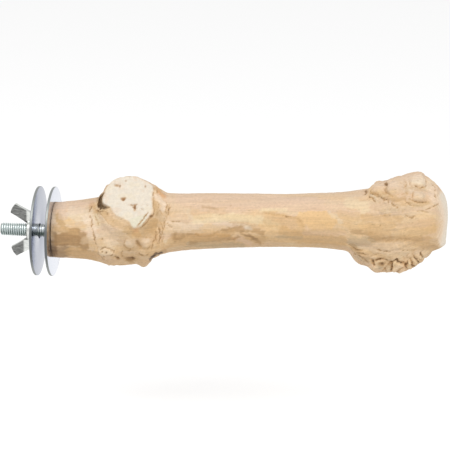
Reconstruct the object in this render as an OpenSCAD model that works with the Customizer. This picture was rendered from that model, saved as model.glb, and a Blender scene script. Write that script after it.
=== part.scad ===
// Bolt-on perch for a bird cage: a debarked branch with a sawn side stump and a burled tip,
// carried by a hanger bolt that a wing nut clamps to the cage wires between two wide washers.
// The stud lies along X with the branch on the +X side, and +Z is up. The origin is on the
// axis of the stud, in the plane where the inner washer bears on the wires.

/* [Branch] */
// Length of the branch from its sawn foot to its sawn tip
branch_len = 174.5; // [130:0.5:260]
// Thickness of the branch in the middle of its shaft
shaft_d = 24; // [18:0.5:34]
// Turn of the branch about the stud, as it was screwed on
branch_turn = 14; // [0:1:359]
// Slope of the sawn foot against a square cut, in degrees
foot_slope = 1; // [0:0.5:4]
// Slope of the sawn tip against a square cut, in degrees
tip_slope = 7; // [0:0.5:10]
// Rounding of the sawn foot's rim
foot_round = 0.8; // [0.6:0.1:2.5]
// Rounding of the sawn tip's rim
tip_round = 3.4; // [1:0.1:5]

/* [Knuckle and stump] */
// Thickness of the knuckle where the side branch left the stem
knuckle_d = 32; // [28:0.5:44]
// Distance of the knuckle's middle from the foot of the branch
knuckle_x = 35.2; // [28:0.2:60]
// Depth of the stump's saw cut, below the crown of the knuckle
stump_cut = 6; // [2:0.5:8]
// Tilt of the stump's sawn face up from the side it faces, in degrees
stump_tilt = 24; // [0:1:45]

/* [Hanger bolt] */
// Outside diameter of the machine thread
stud_d = 6; // [5:0.5:8]
// Pitch of the machine thread
stud_pitch = 1; // [0.8:0.05:1.25]
// Length of the stud from the wire side of the inner washer to its tip
stud_out = 23.2; // [20:0.2:40]
// Length of the plain shank between the two threads
shank_len = 3; // [2:0.5:6]
// Length of the wood thread, with its point
screw_len = 21.2; // [14:0.2:26]
// Pitch of the wood thread
screw_pitch = 2.4; // [2:0.1:3]
// Core diameter of the wood thread
screw_core_d = 4; // [3.4:0.1:4.4]
// Chamfer on the tip of the stud
stud_chamfer = 0.7; // [0.3:0.1:0.9]

/* [Washers] */
// Outside diameter of both washers
washer_d = 40; // [30:1:50]
// Thickness of the sheet that both washers are stamped from
washer_t = 1.2; // [1:0.1:2]
// How much wider a washer's hole is than the stud
washer_play = 0.9; // [0.6:0.1:1.5]
// Gap between the two washers, where the cage wires lie
wire_gap = 5.7; // [2:0.1:12]
// Smallest gap between the inner washer and the foot of the branch
foot_gap = 0.15; // [0.1:0.05:0.5]

/* [Wing nut] */
// Diameter of the flange that bears on the outer washer
nut_base_d = 12.6; // [11.5:0.1:16]
// Height of the nut's hub
nut_h = 4.2; // [3.6:0.1:6]
// Thickness of the hub's wall at its outer end, outside the thread
nut_wall = 1.35; // [1:0.05:2]
// Height of the nut from the flange's face to the tips of its wings
wing_h = 12.2; // [9:0.1:16]
// Span across the two wings
wing_span = 25; // [20:0.5:34]
// Width of one wing
wing_w = 4.9; // [3.5:0.1:6]
// Thickness of one wing
wing_t = 1.9; // [1.4:0.1:2.6]
// Angle of a wing from the axis of the stud, in degrees
wing_lean = 30; // [20:1:50]
// Turn of the wings about the stud, as the nut was left
nut_turn = 5; // [0:1:179]

/* [Hidden] */
// How far a cutter runs past what it cuts
overrun = 1;
// Segments of a lathe-turned circle, and of one turn of a thread
round_steps = 64;
thread_steps = 16;
// Turns that a thread's cutter or its blank runs past what it is for
spare_turns = 2;

// Places along the stud
foot_x = washer_t + foot_gap;
outer_washer_x = -wire_gap - washer_t;
nut_x = outer_washer_x;
stud_r = stud_d / 2;
washer_r = washer_d / 2;
washer_bore_r = (stud_d + washer_play) / 2;
// A washer hangs on the stud, with this much air left over it
washer_air = 0.15;
washer_drop = washer_play / 2 - washer_air;
washer_chamfer = 0.15;

// A 60 degree thread: how deep it is, and where its corners lie along one pitch
thread_depth_share = 0.6134;
thread_corner_shares = [0, 0.125, 0.4375, 0.6875];
thread_root_r = stud_r - thread_depth_share * stud_pitch;
shank_r = thread_root_r + (stud_r - thread_root_r) / 2;
screw_crest_r = stud_r;
screw_core_r = screw_core_d / 2;
screw_point_len = 5;
screw_point_r = 0.25;
pilot_play = 0.2;
pilot_r = screw_core_r + pilot_play;
pilot_spare = 0.6;
// The machine thread runs this far into the foot of the branch
stud_in = 1.2;
// Clearance between the stud's thread and the nut's
thread_play = 0.15;

// The nut's profile
nut_base_r = nut_base_d / 2;
nut_end_r = stud_r + nut_wall;
nut_bore_r = stud_r + thread_play;
flange_h = 1.1;
flange_round = 0.35;
hub_foot_share = 0.55;
hub_foot_r = nut_end_r + (nut_base_r - nut_end_r) * hub_foot_share;
nut_countersink = 0.45;
wing_root_r = (nut_bore_r + nut_end_r) / 2;
wing_lift = 0.6;
wing_crown = 0.5;

// The stem of the branch. Each station holds its place as a share of the length, and then
// how far the stem reaches up, down, to the front and to the back of the stud's axis, as
// shares of the shaft's thickness.
stem_shares = [
    [0.000, 0.535, 0.500, 0.512, 0.517],
    [0.040, 0.571, 0.492, 0.525, 0.521],
    [0.085, 0.622, 0.500, 0.542, 0.542],
    [0.120, 0.675, 0.542, 0.575, 0.562],
    [0.165, 0.729, 0.588, 0.617, 0.592],
    [0.210, 0.762, 0.567, 0.625, 0.592],
    [0.245, 0.775, 0.500, 0.600, 0.562],
    [0.280, 0.783, 0.358, 0.550, 0.533],
    [0.315, 0.779, 0.296, 0.517, 0.512],
    [0.390, 0.804, 0.240, 0.504, 0.508],
    [0.505, 0.831, 0.165, 0.488, 0.496],
    [0.565, 0.833, 0.144, 0.483, 0.488],
    [0.630, 0.858, 0.133, 0.492, 0.488],
    [0.700, 0.896, 0.125, 0.508, 0.500],
    [0.745, 0.925, 0.150, 0.533, 0.525],
    [0.790, 0.983, 0.183, 0.575, 0.567],
    [0.850, 1.025, 0.200, 0.608, 0.592],
    [0.905, 1.042, 0.192, 0.617, 0.592],
    [0.950, 1.042, 0.133, 0.592, 0.575],
    [0.980, 1.090, 0.085, 0.567, 0.558],
    [1.000, 1.030, 0.062, 0.542, 0.546]
];

// Swellings of the burled tip, as ellipsoids. Each holds its place as a share of the length,
// its middle to the back of and above the stud's axis, and its half sizes along, across and
// up, all as shares of the shaft's thickness.
burl_shares = [
    // The body of the upper burl, and its row of domes
    [0.895, -0.08, 0.72, 0.66, 0.58, 0.50],
    [0.838, -0.12, 0.88, 0.21, 0.30, 0.29],
    [0.890, -0.12, 0.92, 0.29, 0.34, 0.33],
    [0.936, -0.04, 1.00, 0.31, 0.38, 0.36],
    [0.948, -0.36, 0.81, 0.23, 0.23, 0.19],
    // The body of the lower burl, and its row of warts
    [0.878, 0.02, -0.02, 0.62, 0.50, 0.39],
    [0.812, -0.02, -0.12, 0.34, 0.34, 0.32],
    [0.838, -0.14, -0.36, 0.19, 0.20, 0.20],
    [0.866, -0.12, -0.37, 0.15, 0.18, 0.17],
    [0.895, -0.13, -0.35, 0.19, 0.21, 0.19],
    [0.926, -0.13, -0.28, 0.15, 0.17, 0.15],
    [0.951, -0.13, -0.19, 0.15, 0.16, 0.14],
    // Lower swellings on the side that faces away
    [0.870, 0.34, 0.62, 0.34, 0.28, 0.30],
    [0.925, 0.30, 0.20, 0.30, 0.26, 0.28],
    // Warts on the side that faces away, from the top down
    [0.814, 0.21, 0.85, 0.17, 0.17, 0.17],
    [0.857, 0.31, 0.89, 0.19, 0.19, 0.19],
    [0.903, 0.28, 0.97, 0.20, 0.20, 0.20],
    [0.946, 0.30, 0.87, 0.18, 0.18, 0.18],
    [0.831, 0.42, 0.70, 0.17, 0.16, 0.16],
    [0.877, 0.49, 0.69, 0.21, 0.21, 0.21],
    [0.926, 0.43, 0.67, 0.18, 0.18, 0.18],
    [0.963, 0.45, 0.66, 0.13, 0.13, 0.13],
    [0.848, 0.51, 0.47, 0.17, 0.15, 0.15],
    [0.900, 0.49, 0.44, 0.18, 0.18, 0.18],
    [0.946, 0.49, 0.42, 0.14, 0.14, 0.14],
    [0.871, 0.45, 0.03, 0.16, 0.16, 0.16],
    [0.920, 0.46, 0.11, 0.15, 0.15, 0.15],
    [0.954, 0.32, 0.04, 0.13, 0.13, 0.13],
    [0.834, 0.33, -0.12, 0.17, 0.17, 0.17],
    [0.874, 0.28, -0.24, 0.18, 0.18, 0.18],
    [0.917, 0.33, -0.15, 0.17, 0.17, 0.17]
];

// Swellings round the knuckle. Their places are counted from its middle, and all their
// values are shares of the knuckle's thickness.
knuckle_shares = [
    // The dome that the stump is sawn from
    [0.00, -0.18, 0.29, 0.52, 0.50, 0.50],
    // The ridge that carries the lower corner of the stump
    [0.06, -0.42, 0.10, 0.22, 0.22, 0.30],
    // The shoulder towards the tip, and the collar below the stump
    [0.31, -0.08, 0.40, 0.19, 0.28, 0.24],
    [-0.27, -0.22, -0.10, 0.28, 0.26, 0.32],
    [0.27, -0.20, -0.06, 0.27, 0.28, 0.28],
    // A thorn on the underside
    [0.17, -0.06, -0.36, 0.10, 0.10, 0.11],
    // A low swelling on the side that faces away, and the warts on it from the top down
    [0.05, 0.24, 0.10, 0.36, 0.26, 0.34],
    [-0.33, 0.24, 0.35, 0.11, 0.11, 0.11],
    [-0.16, 0.35, 0.24, 0.14, 0.14, 0.14],
    [0.09, 0.35, 0.32, 0.13, 0.13, 0.13],
    [-0.26, 0.37, 0.02, 0.11, 0.11, 0.11],
    [-0.04, 0.42, 0.09, 0.14, 0.14, 0.14],
    [0.26, 0.38, 0.19, 0.12, 0.12, 0.12],
    [-0.19, 0.32, -0.17, 0.11, 0.11, 0.11],
    [0.02, 0.37, -0.12, 0.12, 0.12, 0.12],
    [0.21, 0.28, -0.17, 0.11, 0.11, 0.11],
    [-0.26, 0.16, -0.33, 0.11, 0.11, 0.11],
    [-0.04, 0.22, -0.28, 0.13, 0.13, 0.13]
];

// Hollows beside the stump: place from the knuckle's middle along and round the stem, depth
// and half sizes, as shares of the knuckle's thickness. The angle counts up from the front.
hollow_angles = [38, -6, 2];
hollow_shares = [
    [-0.41, 0.10, 0.10, 0.15],
    [0.10, 0.07, 0.22, 0.16],
    [0.40, 0.04, 0.10, 0.30]
];

// How far along the stem the stump's saw cut reaches, and how squarely it has to be faced
stump_reach_share = 0.62;
stump_reach = knuckle_d * stump_reach_share;
least_facing = 0.05;
// Blends between the stem and its swellings
burl_blend_share = 0.11;
burl_blend = shaft_d * burl_blend_share;
knuckle_blend_share = 0.09;
knuckle_blend = knuckle_d * knuckle_blend_share;

// The mesh of the branch: stations along the foot and knuckle, the shaft and the burled tip
foot_stations = 28;
shaft_stations = 14;
burl_stations = 28;
branch_sides = 56;
knuckle_end_share = 0.52;
knuckle_end = knuckle_x + knuckle_d * knuckle_end_share;
burl_start_share = 0.75;
burl_start = branch_len * burl_start_share;

// Value in a table's column at a share of the length, on a smooth curve through the stations
function row_after(table, at, i = 1) =
    i >= len(table) - 1 || table[i][0] >= at ? i : row_after(table, at, i + 1);
function slope_at(table, i, col) =
    let (a = max(i - 1, 0), b = min(i + 1, len(table) - 1))
    (table[b][col] - table[a][col]) / (table[b][0] - table[a][0]);
function along(table, at, col) =
    let (
        i = row_after(table, at),
        span = table[i][0] - table[i - 1][0],
        t = min(max((at - table[i - 1][0]) / span, 0), 1),
        rise = table[i][col] - table[i - 1][col],
        a = slope_at(table, i - 1, col) * span - rise,
        b = rise - slope_at(table, i, col) * span
    )
    table[i - 1][col] + t * rise + t * (1 - t) * (a * (1 - t) + b * t);

// The larger of two radii, rounded off where they are nearly equal
function blended(a, b, reach) =
    let (h = max(reach - abs(a - b), 0) / reach)
    max(a, b) + h * h * reach / 4;

// How far a ray that leaves (y, z) at an angle runs before it leaves an ellipsoid. It falls
// away steadily where the ray misses.
function ray_out(at, y, z, angle, ball) =
    let (
        uy = -cos(angle) / ball[4],
        uz = sin(angle) / ball[5],
        py = (y - ball[1]) / ball[4],
        pz = (z - ball[2]) / ball[5],
        px = (at - ball[0]) / ball[3],
        a = uy * uy + uz * uz,
        b = uy * py + uz * pz,
        c = px * px + py * py + pz * pz - 1,
        d = b * b - a * c
    )
    -b / a + sign(d) * sqrt(abs(d)) / a;

// The swellings at their real sizes
burls = [
    for (s = burl_shares)
        [s[0] * branch_len, s[1] * shaft_d, s[2] * shaft_d,
         s[3] * shaft_d, s[4] * shaft_d, s[5] * shaft_d]
];
knuckles = [
    for (s = knuckle_shares)
        [knuckle_x + s[0] * knuckle_d, s[1] * knuckle_d, s[2] * knuckle_d,
         s[3] * knuckle_d, s[4] * knuckle_d, s[5] * knuckle_d]
];
function swollen(r, at, y, z, angle, balls, reach, i = 0) =
    i >= len(balls) ? r
    : swollen(blended(r, ray_out(at, y, z, angle, balls[i]), reach),
              at, y, z, angle, balls, reach, i + 1);

// How deep the hollows beside the stump are at a point
function hollow_depth(at, angle, r) =
    let (
        parts = [
            for (i = [0 : len(hollow_shares) - 1])
                let (
                    s = hollow_shares[i],
                    along_it = (at - knuckle_x - s[0] * knuckle_d) / (s[2] * knuckle_d),
                    turn = (angle - hollow_angles[i] + 540) % 360 - 180,
                    round_it = turn * PI / 180 * r / (s[3] * knuckle_d)
                )
                s[1] * knuckle_d * exp(-along_it * along_it - round_it * round_it)
        ]
    )
    parts * [for (part = parts) 1];

// Distance along the same ray to the plane that the stump is sawn on
function to_stump(at, y, z, angle) =
    let (
        dome = knuckles[0],
        facing = cos(angle) * cos(stump_tilt) + sin(angle) * sin(stump_tilt),
        ahead = (dome[1] - y) * -cos(stump_tilt) + (dome[2] - z) * sin(stump_tilt)
            + knuckle_d / 2 - stump_cut
    )
    facing > least_facing && abs(at - knuckle_x) < stump_reach ? ahead / facing : branch_len;

// One point of the branch's skin, measured from its foot
function skin_point(at, angle) =
    let (
        share = at / branch_len,
        up = along(stem_shares, share, 1) * shaft_d,
        down = along(stem_shares, share, 2) * shaft_d,
        front = along(stem_shares, share, 3) * shaft_d,
        back = along(stem_shares, share, 4) * shaft_d,
        y = (back - front) / 2,
        z = (up - down) / 2,
        half_w = (front + back) / 2,
        half_h = (up + down) / 2,
        stem_r = half_w * half_h / norm([half_h * cos(angle), half_w * sin(angle)]),
        burl_r = swollen(stem_r, at, y, z, angle, burls, burl_blend),
        full_r = swollen(burl_r, at, y, z, angle, knuckles, knuckle_blend),
        sawn_r = min(full_r - hollow_depth(at, angle, full_r), to_stump(at, y, z, angle)),
        r = sawn_r - rim_drop(at, foot_round) - rim_drop(branch_len - at, tip_round)
    )
    [at, y - r * cos(angle), z + r * sin(angle)];

// How far a sawn end's rounded rim draws in the skin
rim_turn_share = 0.9;
function rim_drop(from_end, rounding) =
    let (t = rim_turn_share * max(1 - from_end / rounding, 0))
    rounding * (1 - sqrt(1 - t * t));

// Stations along the branch, closer together where it swells
rim_shares = [0, 0.12, 0.45];
function spread(from, to, count) = [for (i = [0 : count - 1]) from + (to - from) * i / count];
stations = concat(
    foot_round * rim_shares,
    spread(foot_round, knuckle_end, foot_stations),
    spread(knuckle_end, burl_start, shaft_stations),
    spread(burl_start, branch_len - tip_round, burl_stations),
    [branch_len - tip_round],
    [for (i = [len(rim_shares) - 1 : -1 : 0]) branch_len - tip_round * rim_shares[i]]
);

// The saw cuts lean: a ring's points slide along the stem, most at the sawn end itself. The
// foot's cut falls away downwards and to the front, the tip's to the front.
function lean_share(from_end) = max(1 - from_end / knuckle_x, 0);
function foot_lean(at, p) =
    let (above = stem_shares[0][1] * shaft_d - p[2], behind = stem_shares[0][4] * shaft_d - p[1])
    lean_share(at) * tan(foot_slope) * (above + behind) / 2;
function tip_lean(at, p) = lean_share(branch_len - at) * tan(tip_slope) * p[1];
function leant(at, p) = [p[0] + foot_lean(at, p) + tip_lean(at, p), p[1], p[2]];

module branch_skin() {
    rings = len(stations);
    points = [
        for (at = stations)
            for (k = [0 : branch_sides - 1])
                leant(at, skin_point(at, 360 * k / branch_sides))
    ];
    sides = [
        for (i = [0 : rings - 2])
            for (k = [0 : branch_sides - 1])
                let (
                    a = i * branch_sides + k,
                    b = i * branch_sides + (k + 1) % branch_sides
                )
                each [[a, b, b + branch_sides], [a, b + branch_sides, a + branch_sides]]
    ];
    foot = [for (k = [branch_sides - 1 : -1 : 0]) k];
    tip = [for (k = [0 : branch_sides - 1]) (rings - 1) * branch_sides + k];
    polyhedron(points, concat(sides, [foot, tip]));
}

// The branch, drilled for the hanger bolt
module wood_branch() {
    color("#dbbe94")
    difference() {
        translate([foot_x, 0, 0])
            rotate([-branch_turn, 0, 0])
                branch_skin();
        pilot_len = stud_in + shank_len + screw_len + pilot_spare;
        translate([foot_x - overrun, 0, 0])
            rotate([0, 90, 0])
                cylinder(h = pilot_len + overrun, r = pilot_r, $fn = round_steps);
    }
}

// A rod with one unbroken helical thread. starts holds where each turn begins along X, and
// the profile gives the radius at the crest and at the root for a place along X.
module threaded_rod(starts, crest, root) {
    corners = len(thread_corner_shares);
    steps = (len(starts) - 1) * thread_steps;
    function start_of(i) =
        let (turn = min(floor(i / thread_steps), len(starts) - 2), part = i / thread_steps - turn)
        starts[turn] + (starts[turn + 1] - starts[turn]) * part;
    function thread_point(i, j) =
        let (
            x = start_of(i) + (start_of(i + thread_steps) - start_of(i)) * thread_corner_shares[j],
            r = j < corners / 2 ? crest(x) : root(x),
            angle = 360 * i / thread_steps
        )
        [x, r * cos(angle), r * sin(angle)];
    points = [for (i = [0 : steps]) for (j = [0 : corners - 1]) thread_point(i, j)];
    flanks = [
        for (i = [0 : steps - 1])
            for (j = [0 : corners - 2])
                let (a = corners * i + j, b = a + corners)
                each [[a, a + 1, b + 1], [a, b + 1, b]]
    ];
    seams = [
        for (i = [0 : steps - thread_steps - 1])
            let (a = corners * (i + 1) - 1, b = corners * (i + thread_steps))
            each [[a, b, b + corners], [a, b + corners, a + corners]]
    ];
    head = len(points);
    tail = head + 1;
    head_x = (starts[0] + starts[1]) / 2;
    tail_x = starts[len(starts) - 1];
    head_loop = concat(
        [for (i = [0 : thread_steps]) corners * i],
        [for (j = [corners - 1 : -1 : 1]) j]
    );
    tail_loop = concat(
        [for (i = [steps - thread_steps : steps]) corners * (i + 1) - 1],
        [for (j = [corners - 2 : -1 : 0]) corners * steps + j]
    );
    sides = len(head_loop);
    caps = concat(
        [for (k = [0 : sides - 1]) [head, head_loop[k], head_loop[(k + 1) % sides]]],
        [for (k = [0 : sides - 1]) [tail, tail_loop[(k + 1) % sides], tail_loop[k]]]
    );
    polyhedron(
        concat(points, [[head_x, 0, 0], [tail_x, 0, 0]]),
        concat(flanks, seams, caps)
    );
}

// The hanger bolt: a machine thread outside, a plain shank and a wood thread inside
module hanger_bolt() {
    tip_x = -stud_out;
    machine_end = foot_x + stud_in;
    screw_start = machine_end + shank_len;
    screw_end = screw_start + screw_len;
    machine_turns = ceil((machine_end - tip_x) / stud_pitch) + spare_turns;
    spare_len = (spare_turns + 1) * stud_pitch;
    screw_turns = floor(screw_len / screw_pitch);
    starts = concat(
        [for (i = [machine_turns : -1 : 1]) machine_end - i * stud_pitch],
        [machine_end],
        [for (i = [0 : screw_turns - 1]) screw_start + i * screw_len / screw_turns]
    );
    chamfer_r = stud_r - stud_chamfer;
    // Radius of a bare rod with a chamfered tip, and of the point of the wood screw
    chamfered = function (x, r) min(r, chamfer_r + max(x - tip_x, 0));
    pointed = function (x, r)
        let (t = min(max((screw_end - x) / screw_point_len, 0), 1))
        screw_point_r + (r - screw_point_r) * sqrt(t * (2 - t));
    crest = function (x)
        x < machine_end ? chamfered(x, stud_r)
        : x < screw_start ? shank_r
        : pointed(x, screw_crest_r);
    root = function (x)
        x < machine_end ? chamfered(x, thread_root_r)
        : x < screw_start ? shank_r
        : pointed(x, screw_core_r);
    color("#b9c3c3")
    difference() {
        threaded_rod(starts, crest, root);
        translate([tip_x - spare_len, -stud_d, -stud_d])
            cube([spare_len, 2 * stud_d, 2 * stud_d]);
    }
}

// A stamped washer with broken edges, its wire or branch side at x
module washer(x) {
    edge = washer_chamfer;
    translate([x, 0, -washer_drop])
        rotate([0, 90, 0])
            rotate_extrude($fn = 2 * round_steps)
                polygon([
                    [washer_bore_r, edge],
                    [washer_bore_r + edge, 0],
                    [washer_r - edge, 0],
                    [washer_r, edge],
                    [washer_r, washer_t - edge],
                    [washer_r - edge, washer_t],
                    [washer_bore_r + edge, washer_t],
                    [washer_bore_r, washer_t - edge]
                ]);
}

module inner_washer() {
    color("#dfe2ea") washer(0);
}

module outer_washer() {
    color("#d3d6e0") washer(outer_washer_x);
}

// The nut's turned body: a flange that bears on the washer and a tapered hub
module nut_hub() {
    rotate([0, -90, 0])
        rotate_extrude($fn = round_steps)
            polygon([
                [0, 0],
                [nut_base_r - flange_round, 0],
                [nut_base_r, flange_round],
                [nut_base_r, flange_h - flange_round],
                [nut_base_r - flange_round, flange_h],
                [hub_foot_r, flange_h],
                [nut_end_r, nut_h - flange_round],
                [nut_end_r - flange_round, nut_h],
                [0, nut_h]
            ]);
}

// One flat wing in the plane of the stud's axis, with a gently crowned end
module nut_wing() {
    tip_r = wing_span / 2 - wing_w / 2 * cos(wing_lean);
    tip_x = wing_w / 2 * sin(wing_lean) - wing_h;
    crown_r = (wing_w * wing_w / 4 + wing_crown * wing_crown) / (2 * wing_crown);
    rotate([90, 0, 0])
        linear_extrude(height = wing_t, center = true)
            intersection() {
                translate([tip_x, tip_r])
                    rotate(-wing_lean)
                        intersection() {
                            translate([-wing_crown, -wing_w / 2])
                                square([wing_span, wing_w]);
                            translate([crown_r - wing_crown, 0])
                                union() {
                                    circle(r = crown_r, $fn = round_steps);
                                    translate([0, -wing_w / 2])
                                        square([wing_span, wing_w]);
                                }
                        }
                translate([-wing_span, wing_root_r])
                    square([wing_span - wing_lift, wing_span]);
            }
}

module wing_nut() {
    // The nut's thread starts in step with the stud's, a whole number of pitches from it
    machine_end = foot_x + stud_in;
    far_end = nut_x - nut_h - spare_turns * stud_pitch;
    first = machine_end - ceil((machine_end - far_end) / stud_pitch) * stud_pitch;
    cut_turns = ceil(nut_h / stud_pitch) + 2 * spare_turns + 1;
    starts = [for (i = [0 : cut_turns]) first + i * stud_pitch];
    sink_r = nut_bore_r + nut_countersink;
    color("#c9ccc8")
    difference() {
        translate([nut_x, 0, 0])
            union() {
                nut_hub();
                for (side = [0, 180])
                    rotate([nut_turn + side, 0, 0])
                        nut_wing();
            }
        threaded_rod(
            starts,
            function (x) stud_r + thread_play,
            function (x) thread_root_r + thread_play
        );
        for (end = [0, 1])
            translate([nut_x - end * nut_h, 0, 0])
                rotate([0, end == 0 ? -90 : 90, 0])
                    translate([0, 0, -overrun])
                        cylinder(
                            h = overrun + nut_countersink + nut_bore_r - thread_root_r,
                            r1 = sink_r + overrun,
                            r2 = thread_root_r,
                            $fn = round_steps
                        );
    }
}

wood_branch();
hanger_bolt();
inner_washer();
outer_washer();
wing_nut();
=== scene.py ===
"""A bolt-on cage perch: a debarked branch on a hanger bolt, two wide washers and a wing nut."""

import math

import bpy
import numpy as np
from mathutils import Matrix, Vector


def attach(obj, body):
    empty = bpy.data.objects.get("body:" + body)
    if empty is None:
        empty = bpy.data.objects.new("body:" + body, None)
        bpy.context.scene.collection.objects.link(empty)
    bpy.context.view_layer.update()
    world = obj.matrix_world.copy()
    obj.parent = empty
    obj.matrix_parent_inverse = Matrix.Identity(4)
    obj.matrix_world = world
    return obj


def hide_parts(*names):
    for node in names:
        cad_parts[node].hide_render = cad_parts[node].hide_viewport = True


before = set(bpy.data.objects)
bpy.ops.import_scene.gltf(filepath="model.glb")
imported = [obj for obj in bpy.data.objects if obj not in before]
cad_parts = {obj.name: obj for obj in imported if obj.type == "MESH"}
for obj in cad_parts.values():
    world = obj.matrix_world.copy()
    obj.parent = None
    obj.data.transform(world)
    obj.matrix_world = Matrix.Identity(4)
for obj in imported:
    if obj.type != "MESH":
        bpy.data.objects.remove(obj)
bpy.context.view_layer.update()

MM = 0.001


def direction(azimuth, elevation):
    """The way to what stands this many degrees round the object and above it."""
    a, e = math.radians(azimuth), math.radians(elevation)
    return Vector((math.sin(a) * math.cos(e), -math.cos(a) * math.cos(e), math.sin(e)))


# The camera, as the photo was taken
AZIMUTH, ELEVATION = 9, 14
CAMERA_AWAY = 3000 * MM
SENSOR, SIGHT_END = 36, 20
PIXEL = 0.4457 * MM  # of the photo, measured at the branch
IMAGE = 450
STUD_PX, STUD_PY = 51.4, 230.6  # where the frame's origin shows
MID_BRANCH = Vector((88 * MM, 0, 0))
look_back = direction(AZIMUTH, ELEVATION)
look_right = Vector((math.cos(math.radians(AZIMUTH)), math.sin(math.radians(AZIMUTH)), 0))
look_up = look_back.cross(look_right)
BACK, RIGHT, UP = (np.array(way) for way in (look_back, look_right, look_up))
aim = (
    look_right * (IMAGE / 2 - STUD_PX) * PIXEL
    + look_up * (STUD_PY - IMAGE / 2) * PIXEL
    + look_back * MID_BRANCH.dot(look_back)
)
eye = aim + look_back * CAMERA_AWAY

bpy.ops.object.camera_add(location=eye)
camera = bpy.context.object
camera.data.sensor_width = SENSOR
camera.data.lens = SENSOR * CAMERA_AWAY / (IMAGE * PIXEL)
camera.data.clip_end = SIGHT_END
camera.rotation_euler = look_back.to_track_quat("Z", "Y").to_euler()
bpy.context.scene.camera = camera


# Colours and nodes
def srgb(hex_colour):
    """The red, green and blue of a hex colour, each from 0 to 1."""
    return np.array([int(hex_colour[i : i + 2], 16) / 255 for i in (1, 3, 5)])


def linear(colour):
    """Linear red, green, blue and alpha of a hex colour, or of each row of a table of sRGB colours."""
    if isinstance(colour, str):
        return linear(srgb(colour)).tolist()
    light = np.where(colour <= 0.04045, colour / 12.92, ((np.maximum(colour, 0) + 0.055) / 1.055) ** 2.4)
    return np.concatenate([light, np.ones_like(light[..., :1])], axis=-1)


def node(tree, kind, links={}, values={}, **settings):
    """Adds a node with its own settings, its inputs' values and what is linked into them.

    A link from a whole node comes from the first of its outputs that is in use."""
    made = tree.nodes.new("ShaderNode" + kind)
    for name, value in settings.items():
        setattr(made, name, value)
    for socket, value in values.items():
        made.inputs[socket].default_value = value
    for socket, source in links.items():
        if isinstance(source, bpy.types.Node):
            source = next(output for output in source.outputs if output.enabled)
        tree.links.new(source, made.inputs[socket])
    return made


def new_material(name):
    made = bpy.data.materials.new(name)
    made.use_nodes = True
    made.node_tree.nodes.clear()
    return made, made.node_tree


# Modelling helpers
def deselect():
    bpy.ops.object.select_all(action="DESELECT")


def select_only(piece):
    deselect()
    piece.select_set(True)
    bpy.context.view_layer.objects.active = piece


def set_mode(mode):
    bpy.ops.object.mode_set(mode=mode)


def open_whole(piece):
    """Opens a piece in edit mode with all of it selected."""
    select_only(piece)
    set_mode("EDIT")
    bpy.ops.mesh.select_all(action="SELECT")


def open_chosen(piece, kind, parts, chosen):
    """Opens a piece in edit mode with only those of its faces or edges selected that pass a test."""
    set_mode("EDIT")
    bpy.ops.mesh.select_mode(type=kind)
    bpy.ops.mesh.select_all(action="DESELECT")
    set_mode("OBJECT")
    for part in parts:
        part.select = chosen(part)
    set_mode("EDIT")


def named(name):
    piece = bpy.context.object
    piece.name = piece.data.name = name
    return piece


def apply_place(piece):
    select_only(piece)
    bpy.ops.object.transform_apply(location=True, rotation=True, scale=True)


def drum(name, sides, radius, length, x, z=0, quarters=1):
    """A cylinder along X with its middle at x and z, tipped over by this many quarters of a turn."""
    deselect()
    bpy.ops.mesh.primitive_cylinder_add(
        vertices=sides,
        radius=radius * MM,
        depth=length * MM,
        location=(x * MM, 0, z * MM),
        rotation=(0, quarters * math.pi / 2, 0),
    )
    piece = named(name)
    apply_place(piece)
    return piece


def finish_with(piece, kind, **settings):
    """Adds a modifier and applies it."""
    select_only(piece)
    made = piece.modifiers.new(kind.title(), kind)
    for name, value in settings.items():
        setattr(made, name, value)
    bpy.ops.object.modifier_apply(modifier=made.name)


def combine(piece, operation, tool):
    """Joins a tool to a piece or cuts it out of the piece, and throws the tool away."""
    finish_with(piece, "BOOLEAN", operation=operation, object=tool, solver="EXACT")
    bpy.data.objects.remove(tool)


def points_of(piece):
    """Where a piece's points are, in mm."""
    points = np.empty(len(piece.data.vertices) * 3, np.float32)
    piece.data.vertices.foreach_get("co", points)
    return points.reshape(-1, 3).astype(float) / MM


def normals_of(piece):
    normals = np.empty(len(piece.data.vertices) * 3, np.float32)
    piece.data.vertex_normals.foreach_get("vector", normals)
    return normals.reshape(-1, 3).astype(float)


def move_points(piece, points):
    piece.data.vertices.foreach_set("co", (points * MM).astype(np.float32).ravel())
    piece.data.update()


def swung(points, first, second, angle):
    """Points turned in the plane of two of their axes."""
    made = points.copy()
    made[:, first] = points[:, first] * math.cos(angle) - points[:, second] * math.sin(angle)
    made[:, second] = points[:, first] * math.sin(angle) + points[:, second] * math.cos(angle)
    return made


def shade(piece, angle=None):
    select_only(piece)
    if angle is None:
        bpy.ops.object.shade_smooth()
    else:
        bpy.ops.object.shade_smooth_by_angle(angle=math.radians(angle))


def note(piece, name, kind, values):
    """Stores a value for each point of a piece, for its material to read."""
    layer = piece.data.attributes.new(name, kind, "POINT")
    field = {"FLOAT": "value", "FLOAT_VECTOR": "vector", "FLOAT_COLOR": "color"}[kind]
    layer.data.foreach_set(field, values.astype(np.float32).ravel())


def dress(piece, material, body, slot, *stands_for):
    piece.data.materials.clear()
    piece.data.materials.append(material)
    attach(piece, body)
    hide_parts(*stands_for)


def step_up(values, low, high):
    """0 up to low, 1 from high on, and a smooth rise between them."""
    t = np.clip((values - low) / (high - low), 0, 1)
    return t * t * (3 - 2 * t)


# Washers: stamped from sheet
WASHER_R, WASHER_T, WASHER_BORE_R, WASHER_DROP, WASHER_SIDES = 20, 1.2, 3.45, 0.3, 160
WIRE_GAP = 5.7
PUNCHED_ROLL, BACK_ROLL = 0.32, 0.14  # how far the edges of each face are rolled over
FLAT_WITHIN, ROUND_WITHIN = 0.001, 0.01  # how exactly an edge lies in its face, and runs round it
FACING_ALONG = 0.9


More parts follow.
